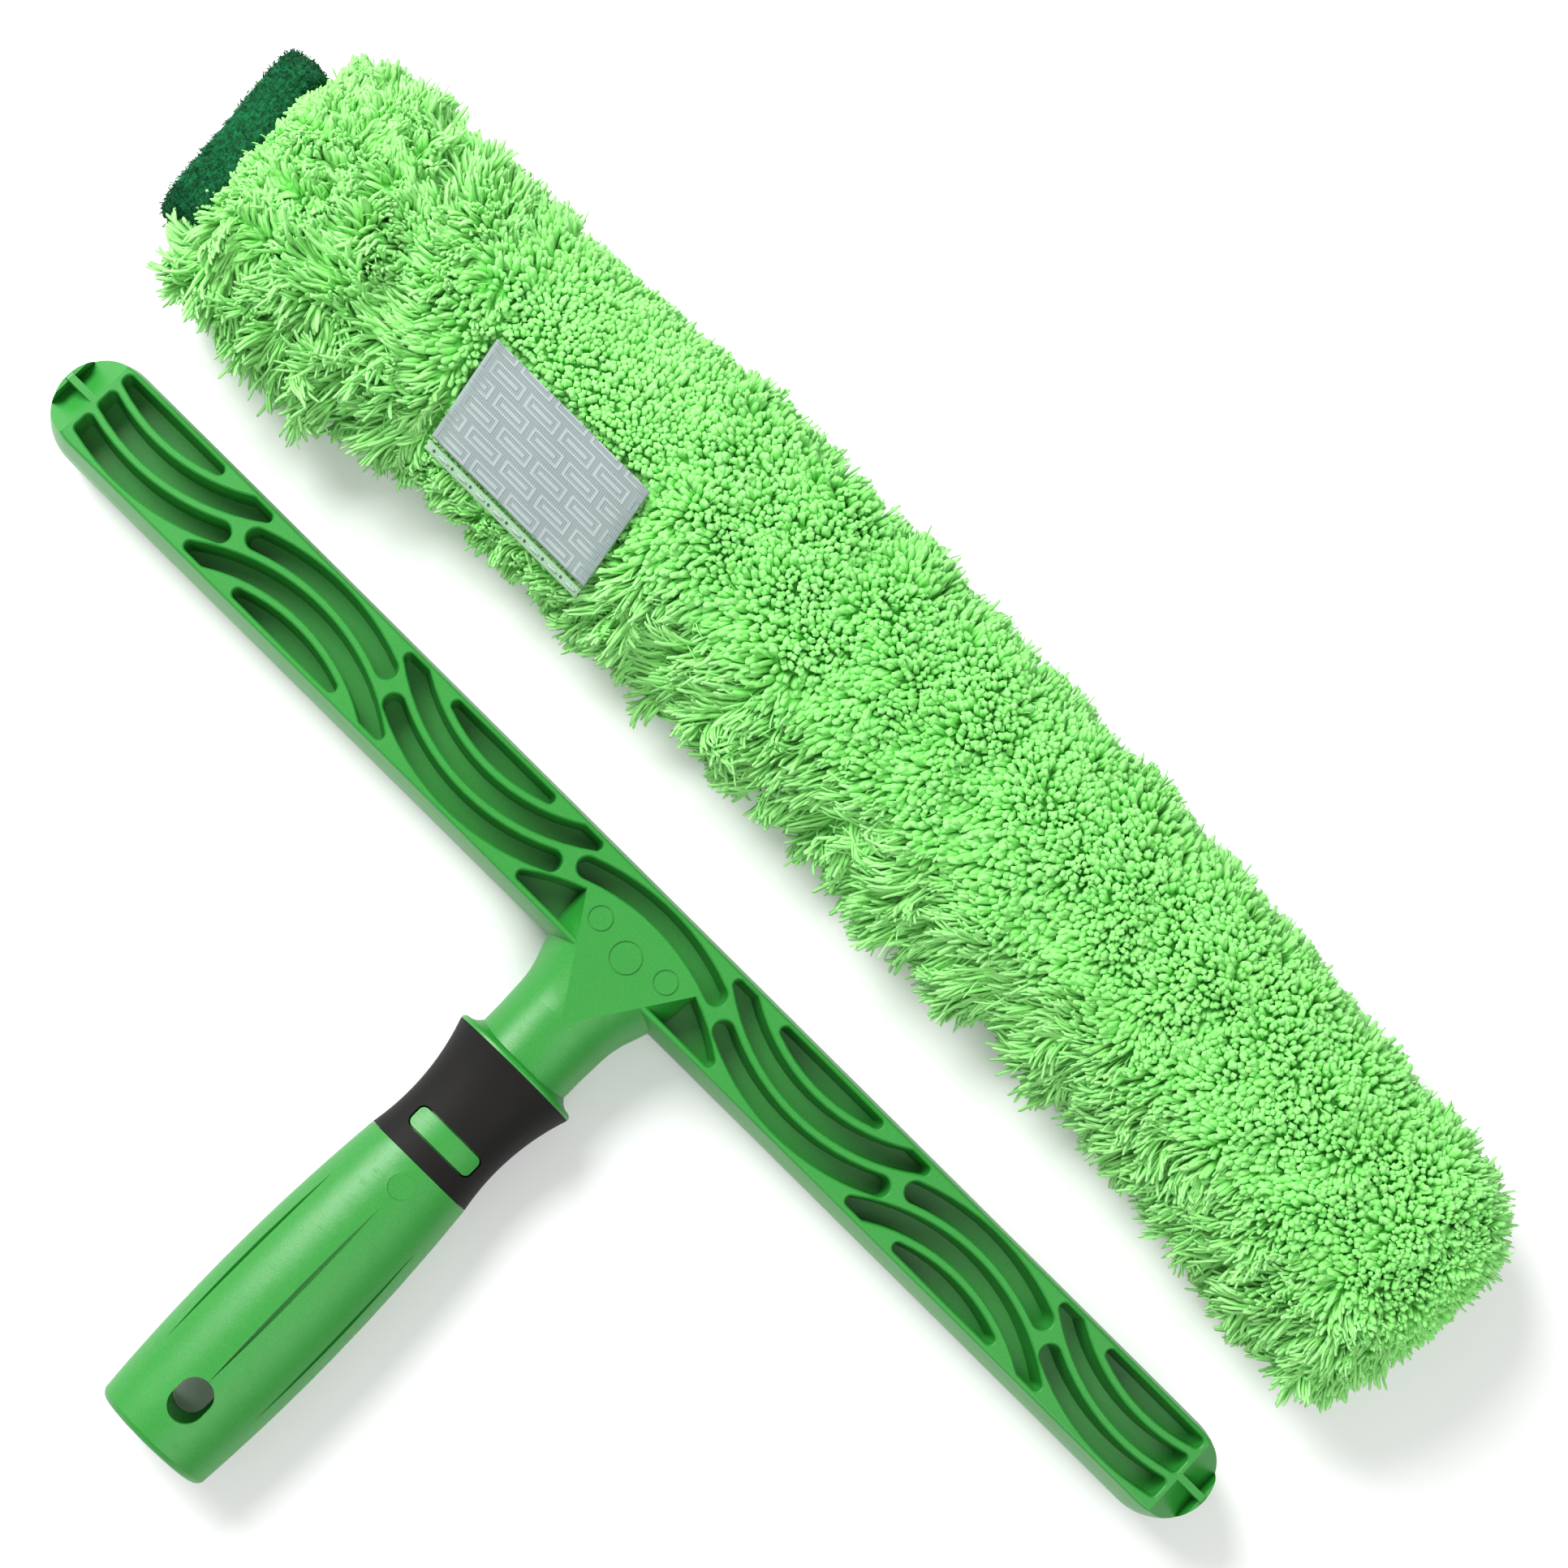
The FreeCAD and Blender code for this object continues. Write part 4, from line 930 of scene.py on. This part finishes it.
def makePad():
    # A rounded plate across the sleeve's end: rings of one rounded outline, each at its depth and inset,
    # closed over both faces and roughened outwards, with loose fibres and two rows of stitches
    turn = np.linspace(0, 2 * math.pi, 241)[:-1]
    sine, cosine = np.sin(turn), np.cos(turn)
    y = np.sign(sine) * np.abs(sine) ** (2 / padForm["power"])
    z = np.sign(cosine) * np.abs(cosine) ** (2 / padForm["power"])
    depth, inset = padForm["depth"], padForm["inset"]
    out = y[None] * (padForm["half"] - inset[:, None])
    tall = z[None] * (padForm["tall"] - inset[:, None])
    depth = depth - padForm["tuck"] * (1 - depth / depth[-1])
    points = bowed(padForm["start"] - depth[:, None] + 0 * out, out, sleeve["axis"] + tall)
    centre = bowed(padForm["start"] - padForm["middle"], 0.0, sleeve["axis"])
    rough = 0.3 * drift(points, 3.0, 31) + 0.35 * drift(points, 9.0, 32)
    points = points + unit(points - centre) * (rough * (inset[:, None] < 14))[..., None]
    rings, size = points.shape[:2]
    quads = gridFaces(rings, size, True)
    caps = [np.arange(size)[None, ::-1], (rings - 1) * size + np.arange(size)[None]]
    pad = piece("scrubPad", points, [quads] + caps, fleecePaint, "sleeve")
    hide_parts("scrub_pad")
    rng, count = np.random.default_rng(33), padFibre["count"]
    ring, step = rng.integers(4, rings - 1, count), rng.integers(0, size, count)
    root = points[ring, step] + 0.25 * rng.normal(size=(count, 3))
    away = unit(root - centre)
    shortHairs("padFibres", root - 0.4 * away, away, padFibre, fleecePaint, "sleeve")
    column = np.repeat(np.arange(padForm["stitches"]), 2)
    row = np.tile([-1, 1], padForm["stitches"])
    out = padForm["half"] - 6.65 - column * padForm["stitchPitch"]
    height = sleeve["axis"] + row * padForm["stitchRow"]
    root = bowed(padForm["start"] - padForm["thick"] - 0.25, out, height)
    stitches = sewn("padStitches", root, [-0.12, -1.0, 0], [0.12, 0, 0], 2.7)
    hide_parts("pad_stitches")
    print("stage: pad")


binding = {"thick": 0.8, "margin": 0.3, "inset": 0.45, "ripple": 0.12, "wave": 0.21}


def makeBinding():
    # A folded tape on each lip of the slit, standing on the tube, with a slight ripple along it
    low, high = (np.array(corner) * 1000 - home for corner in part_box("slit_binding"))
    margin, inset = binding["margin"], binding["inset"]
    along, tall = np.meshgrid(np.linspace(low[0] + margin, high[0] - margin, 220), np.linspace(0, 1, 10))
    made = []
    for number, y in enumerate((low[1] + inset, high[1] - inset), 1):
        ripple = binding["ripple"] * np.sin(along * binding["wave"] + number) * tall
        level = np.sqrt(np.clip(1 - ((y - sleeve["midY"]) / tubeForm["half"]) ** 2, 0, 1))
        foot = sleeve["axis"] + tubeForm["rise"] * level + 0.2
        z = foot + tall * (high[2] - margin - foot)
        middle = np.stack([along, y + ripple, z], -1)
        made.append(slab(f"slitTape_{number}", middle, np.array([0.0, 1.0, 0.0]), binding["thick"], knitPaint,
                         "sleeve", np.stack([along, tall], -1)))
        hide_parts("slit_binding")
    print("stage: binding")
    return made


tube = makeSleeveBody()
plantPile()
onTube = makeTab() + makeBinding()
makePad()

# Floor and light

floorPaint = Paint("floor", Roughness=0.9, Specular_IOR_Level=0.1)
floorPaint.set("Base Color", colour(0.93, 0.93, 0.93))
floorMesh = bpy.data.meshes.new("floor")
floorMesh.from_pydata([(-4, -4, 0), (4, -4, 0), (4, 4, 0), (-4, 4, 0)], [], [(0, 1, 2, 3)])
floorMesh.materials.append(floorPaint.material)
floor = bpy.data.objects.new("floor", floorMesh)
scene.collection.objects.link(floor)

world = bpy.data.worlds.new("world")
scene.world = world
world.use_nodes = True
sky = world.node_tree.nodes["Background"].inputs
sky["Color"].default_value = colour(1.0, 1.0, 1.0)
sky["Strength"].default_value = 0.43


def softbox(name, centre, aim, size, power):
    # A round area lamp that faces its aim
    lamp = bpy.data.objects.new(name, bpy.data.lights.new(name, "AREA"))
    scene.collection.objects.link(lamp)
    lamp.data.shape = "DISK"
    lamp.data.size = size
    lamp.data.energy = power
    away = unit(np.array(centre, float) - np.array(aim, float))
    across = unit(np.cross((0, 1, 0), away))
    matrix = np.eye(4)
    matrix[:3, 0], matrix[:3, 1], matrix[:3, 2] = across, np.cross(away, across), away
    matrix[:3, 3] = toRow(centre)
    lamp.matrix_world = Matrix(matrix.tolist())


softbox("key", (-850, 180, 780), (0, 20, 0), 0.7, 20.0)
softbox("fill", (550, -350, 1000), (0, 20, 0), 1.0, 7.0)
print("stage: floor and light")
